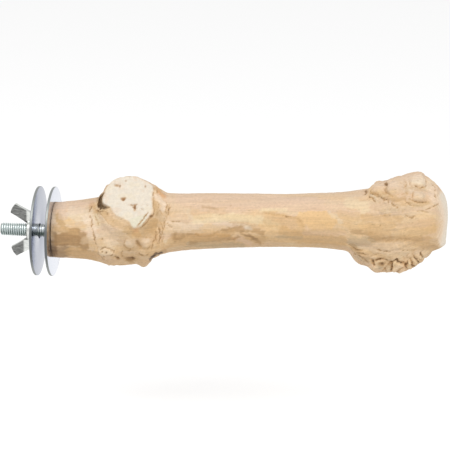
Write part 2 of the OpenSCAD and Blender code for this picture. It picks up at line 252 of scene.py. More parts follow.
def roll_over(washer, edge_x, roll):
    """Rounds the rim and the bore of the washer's face at this place along X."""

    def round_edge(edge):
        ends = [washer.data.vertices[i].co for i in edge.vertices]
        a, b = (math.hypot(end.y, end.z + WASHER_DROP * MM) for end in ends)
        on_face = all(abs(end.x - edge_x * MM) < FLAT_WITHIN * MM for end in ends)
        return on_face and abs(a - b) < ROUND_WITHIN * MM

    open_chosen(washer, "EDGE", washer.data.edges, round_edge)
    bpy.ops.mesh.bevel(offset=roll * MM, segments=4)
    set_mode("OBJECT")


def stamp_washer(name, x):
    """A disc, inset and bridged through for its hole. Its -X edge is rolled over by the punch."""
    washer = drum(name, WASHER_SIDES, WASHER_R, WASHER_T, x + WASHER_T / 2, -WASHER_DROP)
    open_chosen(washer, "FACE", washer.data.polygons, lambda face: abs(face.normal.x) > FACING_ALONG)
    bpy.ops.mesh.inset(thickness=(WASHER_R - WASHER_BORE_R) * MM)
    bpy.ops.mesh.bridge_edge_loops()
    set_mode("OBJECT")
    roll_over(washer, x, PUNCHED_ROLL)
    roll_over(washer, x + WASHER_T, BACK_ROLL)
    shade(washer, 25)
    return washer


# Threads: a sheet rolled into a rod
STUD_R, STUD_ROOT_R, STUD_PITCH, STUD_TIP_X, STUD_END_X = 3, 2.42, 1, -23.2, 2.55
SHANK_LEN, SCREW_LEN, SCREW_PITCH, SCREW_CORE_R = 3, 21.2, 2.65, 2
POINT_LEN, POINT_R, LEAD_IN = 5, 0.1, 1.5  # the screw's point, and where its thread reaches its height
CHAMFER_R, CHAMFER_RISE = STUD_R - 0.75, 1.1  # how thick the stud starts, and how fast it grows
BOLT_STEPS, BOLT_SIDES, SEAM_GAP = 1000, 56, 0.002


def rolled_thread(share):
    """How high a rolled thread stands at a share of its pitch, with a rounded crest and root."""
    height = np.abs((share % 1) * 2 - 1)
    return np.clip(0.5 - 0.62 * np.cos(height * math.pi), 0, 1)


def thread_rod():
    """A flat grid rolled up into the hanger bolt, with its threads pressed in."""
    along_mm = SHANK_LEN + SCREW_LEN + STUD_END_X - STUD_TIP_X
    deselect()
    bpy.ops.mesh.primitive_grid_add(x_subdivisions=BOLT_STEPS, y_subdivisions=BOLT_SIDES, size=1)
    bolt = named("hanger_bolt_zinc")
    flat = points_of(bolt) * MM
    x = STUD_TIP_X + (flat[:, 0] + 0.5) * along_mm
    turn = (flat[:, 1] + 0.5) * 2 * math.pi
    turns = turn / (2 * math.pi)
    thread = rolled_thread((x - STUD_END_X) / STUD_PITCH - turns)
    machine = STUD_ROOT_R + (STUD_R - STUD_ROOT_R) * thread
    screw_from = STUD_END_X + SHANK_LEN
    sharp = np.abs(((x - screw_from) / SCREW_PITCH - turns) % 1 * 2 - 1)
    point = np.sqrt(np.clip((screw_from + SCREW_LEN - x) / POINT_LEN, 0, 1))
    lead_in = np.clip((x - screw_from) / LEAD_IN, 0, 1)
    ridge = (STUD_R - SCREW_CORE_R) * np.clip(sharp * 2.2 - 1.2, 0, 1) * lead_in
    screw = POINT_R + (SCREW_CORE_R + ridge - POINT_R) * point
    shank = np.full(len(x), (STUD_R + STUD_ROOT_R) / 2)
    radius = np.where(x < STUD_END_X, machine, np.where(x < screw_from, shank, screw))
    radius = np.minimum(radius, CHAMFER_R + (x - STUD_TIP_X) * CHAMFER_RISE)
    move_points(bolt, np.column_stack([x, radius * np.cos(turn), radius * np.sin(turn)]))
    # The seam is closed, and each end gets a face
    open_whole(bolt)
    bpy.ops.mesh.remove_doubles(threshold=SEAM_GAP * MM)
    bpy.ops.mesh.select_all(action="DESELECT")
    bpy.ops.mesh.select_mode(type="EDGE")
    bpy.ops.mesh.select_non_manifold()
    bpy.ops.mesh.fill_holes(sides=0)
    bpy.ops.mesh.select_all(action="SELECT")
    bpy.ops.mesh.normals_make_consistent(inside=False)
    set_mode("OBJECT")
    shade(bolt, 50)
    return bolt


# Wing nut: forged
NUT_X, NUT_TURN, NUT_SIDES, NUT_VOXEL, NUT_BORE_AIR = -6.9, 5, 96, 0.14, 0.08
NUT_BASE_R, NUT_END_R, NUT_H, FLANGE_H = 6.3, 4.35, 4.2, 1.1
HUB_FOOT_R, HUB_FROM = NUT_END_R + (NUT_BASE_R - NUT_END_R) * 0.55, 0.2
WING_H, WING_SPAN, WING_W, WING_T, WING_LEN, WING_LEAN = 12.2, 25, 4.9, 1.9, 10.4, math.radians(30)
WING_CROWN, WING_CUTS, AT_TIP = 0.45, 11, 0.99
# How much thicker and wider a wing is at its root, and how soon it slims
ROOT_T, ROOT_W, SLIMMING = 0.25, 0.12, 1.6


def forge_nut():
    """A flange, a hub and two bars struck into one, smoothed as by the die, then drilled."""
    nut = drum("wing_nut_forged", NUT_SIDES, NUT_BASE_R, FLANGE_H, NUT_X - FLANGE_H / 2, quarters=-1)
    deselect()
    bpy.ops.mesh.primitive_cone_add(
        vertices=NUT_SIDES,
        radius1=HUB_FOOT_R * MM,
        radius2=NUT_END_R * MM,
        depth=(NUT_H - HUB_FROM) * MM,
        location=((NUT_X - (NUT_H + HUB_FROM) / 2) * MM, 0, 0),
        rotation=(0, -math.pi / 2, 0),
    )
    blanks = [named("nut_hub")]
    middle_x = NUT_X - WING_H + WING_W / 2 * math.sin(WING_LEAN)
    middle_r = WING_SPAN / 2 - WING_W / 2 * math.cos(WING_LEAN)
    for side in (0, 180):
        # Each wing is a bar with a crowned tip and a thicker root
        deselect()
        bpy.ops.mesh.primitive_cube_add(size=1)
        wing = named("nut_wing")
        wing.scale = (WING_LEN * MM, WING_T * MM, WING_W * MM)
        apply_place(wing)
        open_whole(wing)
        bpy.ops.mesh.subdivide(number_cuts=WING_CUTS)
        set_mode("OBJECT")
        bar = points_of(wing)
        out = np.clip(-bar[:, 0] / WING_LEN + 0.5, 0, 1)  # 1 at the tip
        bar[:, 0] += WING_CROWN * (bar[:, 2] / (WING_W / 2)) ** 2 * (out > AT_TIP)
        slim = np.clip(out * SLIMMING, 0, 1)
        bar[:, 1] *= 1 + ROOT_T - ROOT_T * slim
        bar[:, 2] *= 1 + ROOT_W - ROOT_W * slim
        bar[:, 0] += WING_LEN / 2
        leaning = swung(bar, 2, 0, WING_LEAN) + (middle_x, 0, middle_r)
        move_points(wing, swung(leaning, 1, 2, math.radians(side + NUT_TURN)))
        blanks.append(wing)
    for blank in blanks:
        combine(nut, "UNION", blank)
    finish_with(nut, "REMESH", mode="VOXEL", voxel_size=NUT_VOXEL * MM)
    finish_with(nut, "SMOOTH", factor=0.5, iterations=4)
    drill = drum("nut_drill", NUT_SIDES, STUD_R + NUT_BORE_AIR, NUT_H * 2, NUT_X - NUT_H / 2)
    combine(nut, "DIFFERENCE", drill)
    shade(nut, 40)
    return nut


# The branch. Places on the side that the photo shows are given as its pixels. Sizes are in mm.
STUMP_RIM = [
    (101.6, 203.2), (103, 197), (105.1, 191.4), (108.1, 185.6), (113.1, 180.8), (119.8, 177.9),
    (130.3, 176.3), (138.6, 177.9), (147.3, 181.8), (153.4, 186.6), (153.2, 194.6), (151.9, 199.5),
    (152.6, 207.5), (152.4, 211.5), (150.8, 215.5), (145, 222.4), (137, 228), (134.2, 228.6),
    (131.8, 226.2), (129.6, 221.8), (125.2, 219.4), (121.2, 217.4), (116.5, 215.5), (113.6, 212.5),
    (111.8, 209.5), (109.8, 206.5), (105.8, 205.6), (103.1, 204.6),
]
STUMP_LIP = [(128.5, 221.5), (130.5, 219.3), (134.6, 216.9), (141, 215.9), (147.6, 213.2)]
SIDE_HOLLOW = [
    (103, 190.4), (98.2, 194), (96.6, 200.6), (97.2, 206.2), (99.4, 209.8), (103.6, 208.9),
    (109, 206.9), (106, 204), (104.5, 198), (105.5, 192.5),
]
# Creases: depth, half width, and the line that they follow
CREASES = [
    (0.5, 0.34, [(148.6, 211.6), (143.9, 218), (136.7, 227.2)]),
    (0.3, 0.34, [(151.2, 214.6), (147.5, 219), (141, 225.8)]),
    (0.4, 0.34, [(154.6, 188.5), (153.9, 194.8), (153, 199.5), (154.4, 206.5), (155, 211.5)]),
    (0.5, 0.34, [(155.2, 207.6), (152.8, 215.6), (146.8, 222.2), (138.6, 228.8)]),
    (0.6, 0.42, [(91.9, 204.9), (90.6, 208), (89.2, 211.6)]),
    (0.5, 0.38, [(89, 212), (91, 218.2), (91.7, 226.3), (93.4, 233.4), (95, 242.3), (97, 247.7)]),
    (0.45, 0.4, [(97, 247.7), (98.4, 253), (102, 258.6), (108.5, 261.6)]),
    (0.4, 0.36, [(94.9, 215.4), (96.6, 221), (98.9, 226.4)]),
    (0.7, 0.45, [(95.6, 210.2), (100.2, 211.6), (105.9, 210.6)]),
    (0.6, 0.4, [(100.2, 213.6), (103.4, 216.4), (107, 214.2), (106.4, 211)]),
    (0.45, 0.35,
     [(99.3, 249.4), (103.2, 247.4), (109, 247.8), (113.4, 251.2), (111, 255.6), (104.4, 256.6)]),
    (0.4, 0.3, [(104.4, 256.2), (104.8, 259.6)]),
    (0.8, 0.5, [(113.8, 256.4), (117, 257.4), (120, 259.6)]),
    (0.5, 0.4, [(123.2, 248.8), (121.6, 253.4), (123, 257.8)]),
    (0.3, 0.4, [(129, 237), (124.4, 241), (124, 246.4), (129, 250), (134.4, 246.8)]),
    (0.3, 0.4, [(139.6, 245), (142, 248.8), (148, 249.4), (152, 245.4)]),
    (0.42, 0.34, [(158.8, 232.7), (155, 238.8), (152.7, 245), (151.9, 249.6)]),
    (0.6, 0.35, [(155.6, 230.6), (156.2, 237.4), (158.4, 244.4)]),
    (0.4, 0.34, [(165.8, 215.8), (164.2, 226.5), (161.2, 237.3), (158.8, 246.5)]),
    (0.4, 0.34, [(167.3, 200.4), (165.8, 211.2), (167.3, 220.4)]),
    (0.55, 0.34, [(158.6, 227), (160.2, 234), (160.6, 241)]),
    (0.4, 0.4, [(160, 220.4), (161.6, 227), (163.4, 236), (162, 243)]),
    (0.7, 0.45, [(169.5, 202.6), (169.4, 207.6), (168.4, 211.4), (168.8, 215.4)]),
    (0.4, 0.35, [(169.6, 220.9), (175, 221.7), (182.4, 221.5)]),
    (0.45, 0.4, [(167.2, 222.6), (169.2, 225.6), (172, 227.2)]),
    (0.5, 0.35, [(165.2, 193.6), (167, 195.2), (169, 196.6)]),
    (0.35, 0.35, [(157.3, 196.9), (157.2, 203), (159.6, 209.8), (162, 215.6)]),
    (0.5, 0.4, [(128.4, 224.4), (127, 227.4), (129.2, 230.2)]),
    (0.3, 0.3, [(110.4, 214.8), (112.8, 219.6), (113, 223.6)]),
    (0.9, 0.9, [(164, 252.4), (156, 255.6), (150, 258.6)]),
    (0.5, 0.4, [(136, 251), (140, 254.6), (146, 255.4), (151, 252.4)]),
    # The upper burl
    (0.8, 0.45, [(365.2, 189.4), (366.6, 191.6), (365, 194.6)]),
    (0.6, 0.45, [(385.2, 181), (386.2, 184)]),
    (0.7, 0.5, [(374.6, 192.6), (378.6, 196), (383.4, 199.2), (388.4, 200.6), (390.2, 203.4)]),
    (0.6, 0.4, [(368.4, 195.8), (372.4, 199.2), (376, 201.8)]),
    (0.5, 0.35, [(370.8, 193.8), (375, 195.4), (379.4, 198.4)]),
    (0.5, 0.4, [(391.2, 201.6), (394.6, 206), (399.8, 208.4)]),
    (0.6, 0.4, [(414.2, 184.6), (416.4, 186.8), (420.8, 187.9), (425.6, 186.8), (427.6, 184.2)]),
    (0.45, 0.5, [(408.6, 198.4), (412.4, 200.4), (418, 202.4), (424.4, 202.2), (429.4, 199.4)]),
    (0.12, 0.4, [(413, 190.4), (411.4, 195), (413.2, 199.6)]),
    (0.12, 0.4, [(428.2, 188.6), (430.4, 194), (428.6, 199.6)]),
    (0.3, 0.4, [(404, 179), (406.4, 184), (405, 190), (408, 196)]),
    (0.45, 0.4, [(424.8, 210), (431.5, 207.7), (440.1, 203)]),
    (0.35, 0.3, [(404.6, 214.5), (410.6, 217.5), (416, 216.6)]),
    (0.35, 0.3, [(416.3, 211.1), (423, 211.4), (430.2, 212.3)]),
    (0.4, 0.35, [(405.4, 201), (409.4, 205.4), (414.6, 206.2)]),
    (0.4, 0.4, [(432, 184), (435, 189), (434, 196), (437.6, 200)]),
    # The lower burl
    (0.5, 1.2,
     [(352, 232.6), (362, 235.8), (372.4, 240.8), (380.3, 240.2), (392, 240.6),
      (406.3, 239.2), (414, 240.6)]),
    (0.3, 0.8, [(414, 240.8), (424, 243.4), (435.1, 247.2), (439, 246.8)]),
    (0.6, 0.4, [(352, 247), (357, 249.4), (364, 250.2)]),
    (0.5, 0.4, [(355.4, 251.8), (361, 253.2), (367, 255.4)]),
    (0.5, 0.4, [(358.6, 257.4), (365, 259.6), (369, 262.6)]),
    (0.4, 0.4, [(376, 249.6), (384, 251.4), (393, 250.8)]),
    (0.35, 0.4, [(398, 249.8), (408, 250.6), (416, 248.8)]),
    (0.3, 0.4, [(358, 253.4), (366, 254.2), (373, 256.4)]),
    (1.5, 0.5, [(371.6, 259.4), (372.4, 262.4), (373.6, 265.8)]),
    (1.8, 0.45, [(391.6, 261.6), (392.3, 266), (392.2, 272)]),
    (1.3, 0.42, [(391.6, 261.6), (396.2, 259.9), (400.6, 262.8), (404.6, 261.2)]),
    (1.4, 0.42, [(407.6, 260.4), (406.6, 264.4), (404.8, 267.4)]),
    (0.5, 0.3, [(388.1, 262), (388.3, 264), (389.9, 264.6), (390.9, 263), (389.9, 261.3), (388.1, 262)]),
    (1, 0.4, [(375.2, 260.6), (378.2, 259.4), (383.6, 259), (388, 260.2)]),
    (1.2, 0.4, [(409.6, 259.4), (412, 262.4), (412.2, 266.4)]),
    (1.2, 0.4, [(414.2, 256.2), (416.8, 259.6), (418, 262.4)]),
    (1.3, 0.4, [(420, 252.8), (420.9, 255.4), (422.6, 258)]),
    (0.6, 0.4, [(396, 272.4), (398.4, 268.4), (402.6, 267)]),
    (0.6, 0.45, [(353, 253.6), (358.4, 255.4), (362.4, 258.2)]),
    (0.35, 0.4, [(281, 215.2), (286, 216.6), (292, 217.4)]),
    (0.25, 0.5, [(262, 213.2), (272, 214), (281, 215.2)]),
    (0.25, 0.5, [(292, 217.4), (298, 218.6), (301.6, 223)]),
]
# Domes: height, half width, half height, and middle
DOMES = [
    (0.5, 2.3, 2, (129.2, 243.6)), (0.6, 2.8, 2.3, (145.6, 242.2)), (0.8, 3.1, 2, (106, 252)),
    (0.3, 2.6, 3.4, (160.6, 205.6)), (0.5, 1.6, 1.5, (158.6, 191.6)), (0.6, 2, 1.6, (101.6, 213.6)),
    (1.7, 3.4, 2.7, (378.6, 188.2)), (1.7, 4, 3.4, (394.4, 188)), (1.2, 3.9, 3, (417.8, 179.8)),
    (0.9, 3, 2.4, (418.6, 195.6)), (0.5, 2, 2.4, (435.4, 191)), (0.5, 2, 1.7, (405.6, 196.6)),
    (0.4, 1.5, 1.3, (410.8, 189.4)), (0.5, 1.6, 1.4, (430, 183.6)),
    (1.4, 2.9, 2.6, (379.2, 265.4)), (0.8, 1.8, 2.2, (388.4, 266.4)), (1.4, 3, 2.4, (398.6, 267)),
    (0.7, 2, 1.3, (401.6, 258.6)), (0.8, 1.6, 1.6, (409, 264.6)), (0.8, 1.5, 1.4, (415.6, 260.8)),
    (0.8, 1.5, 1.5, (421.6, 256.6)), (0.6, 1.4, 1.2, (411.4, 256.4)), (0.5, 1.4, 1.2, (417.2, 252.8)),
    (0.6, 2.4, 1.8, (365.6, 262)), (0.5, 1.8, 1.2, (376, 256.8)), (0.4, 1.6, 1.1, (388.4, 256.2)),
]
# Spots of the outline: depth planed off (less than 0: left standing), radius, and middle
TRIMS = [
    (1.4, 2, (428.6, 174.6)), (0.7, 2, (380.5, 180.5)), (-0.6, 2, (407.5, 174.5)),
    (-0.4, 2.4, (438, 186)), (0.8, 2.6, (373, 263)), (-0.6, 2.4, (408.5, 268.5)),
    (1, 2.2, (426, 258.5)), (-0.5, 2.4, (354, 249)), (0.6, 2.4, (138.5, 267)),
    (-0.5, 3, (108, 262)), (-0.8, 1.8, (444, 243)), (-0.4, 2, (438, 247)),
    (0.6, 2.2, (156, 257)), (0.4, 2.2, (374.5, 183)),
]
# Pits: depth, half width, half height, middle, and how dark they are
PITS = [
    (1.1, 0.95, 0.8, (123.4, 198.8), 0.9), (1.2, 0.55, 1.1, (134.6, 207.2), 1),
    (0.6, 0.8, 0.4, (131.8, 205.4), 0.5), (0.7, 0.4, 0.4, (136.2, 204.9), 0.5),
    (0.7, 1.5, 0.8, (116.2, 185.3), 0.4), (0.6, 0.35, 0.6, (119.4, 185.9), 0.6),
    (0.5, 0.35, 0.6, (145.3, 186.4), 0.45), (0.35, 0.5, 0.3, (125.9, 180.4), 0.4),
    (0.3, 0.6, 0.25, (129.9, 177), 0.6), (0.3, 0.6, 0.3, (141.9, 209.4), 0.25),
    (0.25, 0.6, 0.5, (146.8, 205.2), 0.2), (0.8, 0.35, 0.3, (102.8, 251.5), 1),
    (0.8, 0.35, 0.35, (106.4, 252.4), 1), (1, 2, 1.2, (129.6, 259.4), 0.7),
    (1, 0.7, 0.6, (132.9, 259.2), 1.5), (0.8, 0.9, 0.5, (117.4, 258.4), 0.7),
    (0.5, 0.4, 0.7, (102.6, 238.6), 0.4), (0.9, 1.3, 1.6, (138.2, 243.6), 0.45),
    (0.5, 0.7, 0.7, (157.4, 192.6), 0.35), (0.8, 0.7, 0.5, (151.4, 216.2), 0.7),
    (1.1, 1.1, 0.8, (381.8, 263.8), 0.9), (0.8, 0.35, 0.35, (389.4, 262.9), 0.8),
    (0.9, 0.6, 0.8, (405.4, 263.9), 0.7), (0.7, 0.35, 0.35, (413.4, 265.2), 1),
    (0.7, 0.35, 0.35, (417.8, 261.4), 0.9), (0.8, 0.35, 0.5, (420.8, 255.1), 1),
    (0.9, 0.6, 0.5, (385.9, 183.2), 1.5), (0.9, 0.4, 0.6, (366.3, 190.8), 1.5),
    (0.4, 0.3, 0.3, (380.3, 224.8), 0.5), (0.4, 0.4, 0.3, (350, 244.6), 0.6),
    (0.3, 0.4, 0.25, (230.2, 205.4), 0.4), (0.3, 0.6, 0.25, (286.6, 216.9), 0.8),
]
# Colours of the bare wood, with painted highlights and shade among them, and where each lies: colour,
# strength, half width, raggedness, line
WOOD = {
    "sapwood": "#e4c7a3", "pink": "#e4c3a5", "honey": "#eac28c", "straw": "#efdab2", "amber": "#d2a267",
    "tan": "#d6ae7b", "brown": "#b28c60", "umber": "#7d5f42", "grey": "#c2aa88", "cream": "#ece1cf",
    "lip": "#e0d9c0", "rust": "#dca473", "darkest": "#33251c", "bark": "#857055", "ochre": "#c6a272",
    "blond": "#f6e0c8", "rose": "#dac1ab", "face": "#e5dac9", "pit": "#a8784f",
}
STAINS = [
    # The rim of the sawn foot: painted lighter above, against the shade of the gap at the washer, and
    # painted dark below, as shade where it meets the washer
    ("blond", 0.7, 1.5, 0.3, [(52.8, 202), (52.4, 212), (52.4, 221)]),
    ("darkest", 0.55, 0.8, 0.2, [(52.5, 241), (53.2, 246), (54.1, 251)]),
    # The shaft
    ("pink", 0.6, 3.2, 1.2, [(182, 199), (215, 201), (250, 202), (285, 203), (318, 206)]),
    ("blond", 0.45, 1.8, 0.9, [(168, 226), (190, 226.6), (210, 226.6), (228, 225)]),
    ("honey", 0.3, 5.5, 1.6, [(258, 222), (300, 228), (350, 228), (400, 228), (434, 226)]),
    ("honey", 0.4, 2.6, 1.3, [(206, 229), (240, 234), (280, 236), (302, 234)]),
    ("straw", 0.6, 2, 0.9, [(196, 219.5), (214, 217.5), (240, 218), (262, 221), (276, 226)]),
    ("honey", 0.8, 3.1, 1, [(303, 219), (312, 217.5), (322, 217), (331, 220.5)]),
    ("honey", 0.7, 1.6, 0.6, [(310, 225.5), (320, 226), (330, 225.5)]),
    ("honey", 0.5, 1, 0.6, [(319, 197.6), (334, 198), (349, 198)]),
    ("honey", 0.5, 1.6, 0.9, [(262, 226), (274, 229), (286, 228)]),
    ("straw", 0.5, 0.9, 0.4, [(262.5, 210.8), (272, 209.3), (286, 209.5)]),
    ("cream", 0.3, 0.9, 0.5, [(329, 212.5), (336, 217.5), (341, 222)]),
    ("tan", 0.3, 2, 0.9, [(340, 214), (352, 217), (358, 216)]),
    ("cream", 0.4, 1.4, 0.8, [(186.5, 212), (190.5, 216.5)]),
    ("sapwood", 0.5, 2, 0.8, [(172, 206), (182, 210)]),
    ("tan", 0.6, 2.4, 1.1, [(284, 231), (300, 238), (322, 240), (342, 241)]),
    ("tan", 0.5, 2.2, 1.1, [(172, 241), (190, 241), (214, 241), (240, 241), (262, 239)]),
    ("brown", 0.5, 1.3, 1, [(172.8, 235.6), (184, 235.6), (198, 237), (214, 239), (230, 237.8)]),
    ("amber", 0.6, 0.8, 0.6, [(197, 234.6), (212, 234.2), (229, 235.2)]),
    ("umber", 0.4, 0.9, 0.8, [(173.5, 238.6), (179, 238.8), (183, 236.4)]),
    ("brown", 0.5, 1.1, 0.9, [(223, 230.8), (232, 229.6), (241, 229), (247, 231)]),
    ("brown", 0.5, 1.2, 0.8, [(250.5, 229.4), (257, 230.6), (263, 233.4)]),
    ("brown", 0.65, 0.9, 0.7, [(241.6, 232.4), (249, 236.6), (259.5, 242.4)]),
    ("cream", 0.5, 0.8, 0.4, [(245.6, 227.9), (250.6, 228.8)]),
    ("pink", 0.6, 1.4, 0.7, [(238, 238), (244, 240.6), (249, 243)]),
    ("rust", 0.6, 0.5, 0.3, [(232.8, 238.4), (235.4, 238.8)]),
    ("grey", 0.6, 1.2, 0.8, [(188.7, 243.4), (206, 244.8), (226, 245.6), (243, 246)]),
    ("grey", 0.5, 0.7, 0.5, [(277, 237.4), (290, 237), (302, 237.4)]),
    ("pink", 0.6, 0.9, 0.6, [(304, 233.2), (324, 233.4), (344, 234)]),
    ("brown", 0.4, 0.6, 0.4, [(202.8, 207.2), (210, 208.2), (217.6, 209.4)]),
    ("brown", 0.3, 0.6, 0.4, [(203.5, 199.8), (211, 200.6)]),
    ("tan", 0.4, 3.4, 0.5, [(271, 220), (284, 222), (298, 226)]),
    ("tan", 0.5, 1.5, 0.4, [(174, 238), (186, 237.4), (198, 239), (210, 238), (222, 234.4), (232, 232)]),
    ("brown", 0.5, 0.45, 0.35,
     [(188, 233.4), (200, 236), (212, 234.6), (222, 230.4), (232, 227.8), (242, 226.6)]),
    ("brown", 0.5, 0.9, 0.5, [(190.5, 242.6), (196, 241.6)]),
    ("brown", 0.6, 0.45, 0.35, [(228, 238.6), (234, 239.8), (238, 236.6)]),
    ("umber", 0.4, 0.5, 0.4, [(245.6, 235), (250.6, 237.4), (257, 239)]),
    ("tan", 0.3, 1.6, 1, [(298, 233.4), (320, 233), (342, 232)]),
    ("tan", 0.25, 2, 1, [(188, 214), (208, 215)]),
    ("tan", 0.35, 0.8, 0.6, [(263, 213), (274, 213.6), (286, 216.4), (299, 219.4), (303, 224)]),
    # The left stub
    ("pink", 0.5, 3, 1, [(57, 208), (66, 208), (80, 206)]),
    ("cream", 0.4, 3, 0.9, [(74, 213), (84, 215), (92, 214)]),
    ("honey", 0.4, 1.4, 0.8, [(60, 222), (66, 221), (72, 223)]),
    ("ochre", 0.7, 1.1, 0.7, [(57.5, 215), (60, 223), (64, 228), (72, 231), (78, 231.6)]),
    ("brown", 0.7, 2.2, 1.1, [(74, 231.6), (80, 235), (83, 240), (84, 246)]),
    ("tan", 0.6, 1.6, 0.9, [(56, 228), (66, 232.6), (76, 234)]),
    ("rose", 0.5, 1.8, 1, [(61, 204), (63.4, 216)]),
    ("tan", 0.5, 1.3, 0.8, [(93, 206), (95, 211)]),
    ("blond", 0.5, 2.6, 1, [(88, 219), (92, 225), (93.4, 236)]),
    # A dark strip up the edge of the foot, darkest low down: painted shade where the foot meets the washer
    ("umber", 0.08, 0.8, 0.3, [(54.5, 198), (54.5, 236)]),
    ("umber", 0.6, 1.2, 0.4, [(54.5, 234), (54.5, 258)]),
    ("brown", 0.8, 2.6, 1.2, [(57, 240), (66, 240), (74, 240.6), (77, 242)]),
    ("brown", 0.5, 1.3, 0.7, [(60, 237.6), (72, 237.4)]),
    # Painted shade low on the foot
    ("umber", 0.4, 2.6, 0.8, [(57, 252), (61, 252.4), (66, 250)]),
    ("tan", 0.7, 2.2, 1.2, [(70, 251), (82, 254), (96, 256)]),
    ("sapwood", 0.6, 1.6, 0.8, [(84, 241), (92, 240), (98, 243)]),
    # Round the stump
    ("ochre", 0.65, 2.4, 1.1, [(129, 229), (134, 234), (141, 233), (148, 228.6), (153, 223)]),
    ("amber", 0.6, 1.8, 0.8, [(134.6, 231.6), (138, 236), (139, 241), (140, 245)]),
    ("rust", 0.5, 0.8, 0.6, [(133.4, 230.4), (137.4, 231.2)]),
    ("ochre", 0.42, 1.9, 1.1, [(106, 214.5), (112, 221), (121, 225.6), (129, 230)]),
    ("blond", 0.35, 3.4, 1.2, [(99, 222), (107, 231), (112, 240)]),
    ("straw", 0.5, 1.4, 0.6, [(96, 217), (97.5, 224)]),
    ("ochre", 0.6, 0.9, 0.5, [(96.8, 211.4), (101, 213), (106, 212.6)]),
    # A painted shadow along the stump's right rim
    ("ochre", 0.6, 0.8, 0.5, [(154.8, 202), (155.6, 208), (156.8, 214)]),
    ("tan", 0.5, 3, 1.2, [(150, 225), (150.6, 236), (152, 250)]),
    ("rust", 0.4, 1, 0.6, [(91.5, 202), (91.5, 206)]),
    ("amber", 0.8, 0.9, 0.5, [(155.8, 188.8), (158.8, 190.6)]),
    ("rust", 0.7, 0.8, 0.5, [(158.6, 193), (162, 195), (165, 196.6)]),
    ("blond", 0.75, 1.5, 0.4, [(158, 197.4), (160.6, 202), (163, 205.4), (163, 209.4)]),
    ("tan", 0.3, 1.6, 0.8, [(156, 216), (162, 222)]),
    # Painted shade below the pale facet right of the stump
    ("grey", 0.3, 1, 0.5, [(156.8, 213), (161, 218), (164.6, 218.6)]),
    ("sapwood", 0.6, 2, 0.8, [(128, 243), (145, 242)]),
    ("tan", 0.5, 1.8, 0.8, [(114, 255), (124, 257), (136, 257.6)]),
    ("tan", 0.5, 1.8, 1, [(155, 234), (158, 240), (161, 246)]),
    ("blond", 0.45, 1.9, 0.6, [(102, 251.4), (110, 252.4)]),
    # The crowns of the two low domes painted blond, as painted highlights, and ochre beneath them, as
    # painted shade
    ("blond", 0.5, 1, 0.4, [(127.6, 242.8), (129.4, 242.6)]),
    ("blond", 0.5, 1.1, 0.4, [(144.6, 240.8), (147.4, 240.2)]),
    ("ochre", 0.6, 0.6, 0.4, [(124.6, 244.6), (126, 247.4), (130, 248.4), (134, 246.6)]),
    ("ochre", 0.6, 0.6, 0.4, [(140, 245.6), (143, 248.2), (149, 248.2), (152, 245)]),
    ("ochre", 0.6, 1.3, 0.7, [(125.6, 258.2), (131, 259.8), (135.4, 258.2)]),
    ("brown", 0.5, 0.8, 0.5, [(165, 250.6), (158, 253), (152, 256)]),
    ("darkest", 1, 0.4, 0.3, [(162.4, 252.8), (157, 255.2), (151.6, 258.2), (149.4, 260)]),
    ("brown", 0.5, 0.7, 0.6, [(175.4, 233), (176, 239.7)]),
    # The burled end
    ("honey", 0.35, 2.4, 1, [(374, 190), (384, 190), (396, 190)]),
    # Painted highlights on the crowns of the first two domes
    ("blond", 0.4, 2.2, 0.9, [(375, 186), (380, 187)]),
    ("blond", 0.35, 2.4, 0.9, [(391, 187), (397, 187)]),
    ("pink", 0.5, 2.4, 1, [(400, 192), (406, 194.6)]),
    # A painted highlight on the third dome's crown
    ("cream", 0.6, 2.2, 0.8, [(414, 178), (421, 179)]),
    ("cream", 0.4, 3, 1.2, [(408, 186), (418, 184.6), (428, 185)]),
    # Painted shade under the second dome
    ("ochre", 0.5, 1.3, 0.7, [(391.6, 197.2), (397.4, 200)]),
    # A painted highlight on the fourth dome's crown
    ("cream", 0.4, 1.6, 0.6, [(417, 194), (423, 195)]),
    # Painted shade under the domes
    ("tan", 0.5, 1.6, 0.9, [(390, 197), (398, 200), (406, 203)]),
    # A painted highlight on the edge of a slit
    ("cream", 0.5, 1.1, 0.4, [(371.6, 195), (376.4, 196.6)]),
    ("straw", 0.6, 2.6, 0.9, [(350, 203), (358, 205), (364, 207)]),
    ("tan", 0.5, 2, 1, [(366, 217), (380, 219.4), (398, 218.6)]),
    ("brown", 0.4, 1.7, 1.1, [(372, 235.6), (380, 236.4), (389, 238.6)]),
    ("amber", 0.35, 1.9, 1, [(408, 242), (418, 242), (427, 240)]),
    ("brown", 0.35, 1.2, 0.8, [(423, 247), (434, 246.4)]),
    ("honey", 0.5, 1.6, 0.9, [(362, 226), (376, 226), (392, 226)]),
    ("pink", 0.5, 1.1, 0.6, [(399, 226.4), (416, 225.4), (431, 226)]),
    ("brown", 0.4, 1.2, 0.9, [(352, 231.8), (361, 233.6), (371, 233)]),
    ("tan", 0.7, 1.5, 0.9, [(372, 239.6), (388, 240.4), (408, 238.4), (420, 239.4)]),
    ("umber", 0.25, 0.8, 0.5, [(375, 241), (383, 240.6), (392, 240.4)]),
    ("grey", 0.5, 1.7, 0.9, [(351, 240.6), (361, 241.6), (372, 241.4)]),
    ("brown", 0.45, 1.2, 1.1, [(353, 247), (358, 252), (364, 257), (371, 261)]),
    ("grey", 0.5, 1, 0.8, [(355, 255), (361, 259), (367, 262)]),
    ("tan", 0.6, 1.5, 0.8, [(372, 233), (380, 234), (388, 233)]),
    ("sapwood", 0.5, 2.6, 1, [(376, 249), (392, 248), (408, 247)]),
    ("bark", 0.75, 1.1, 0.5, [(379, 266), (382, 264)]),
    ("tan", 0.4, 1.8, 0.8, [(374, 262), (388, 264), (404, 262), (416, 258)]),
    ("pink", 0.55, 1.4, 0.5, [(397, 267.6), (401, 267)]),
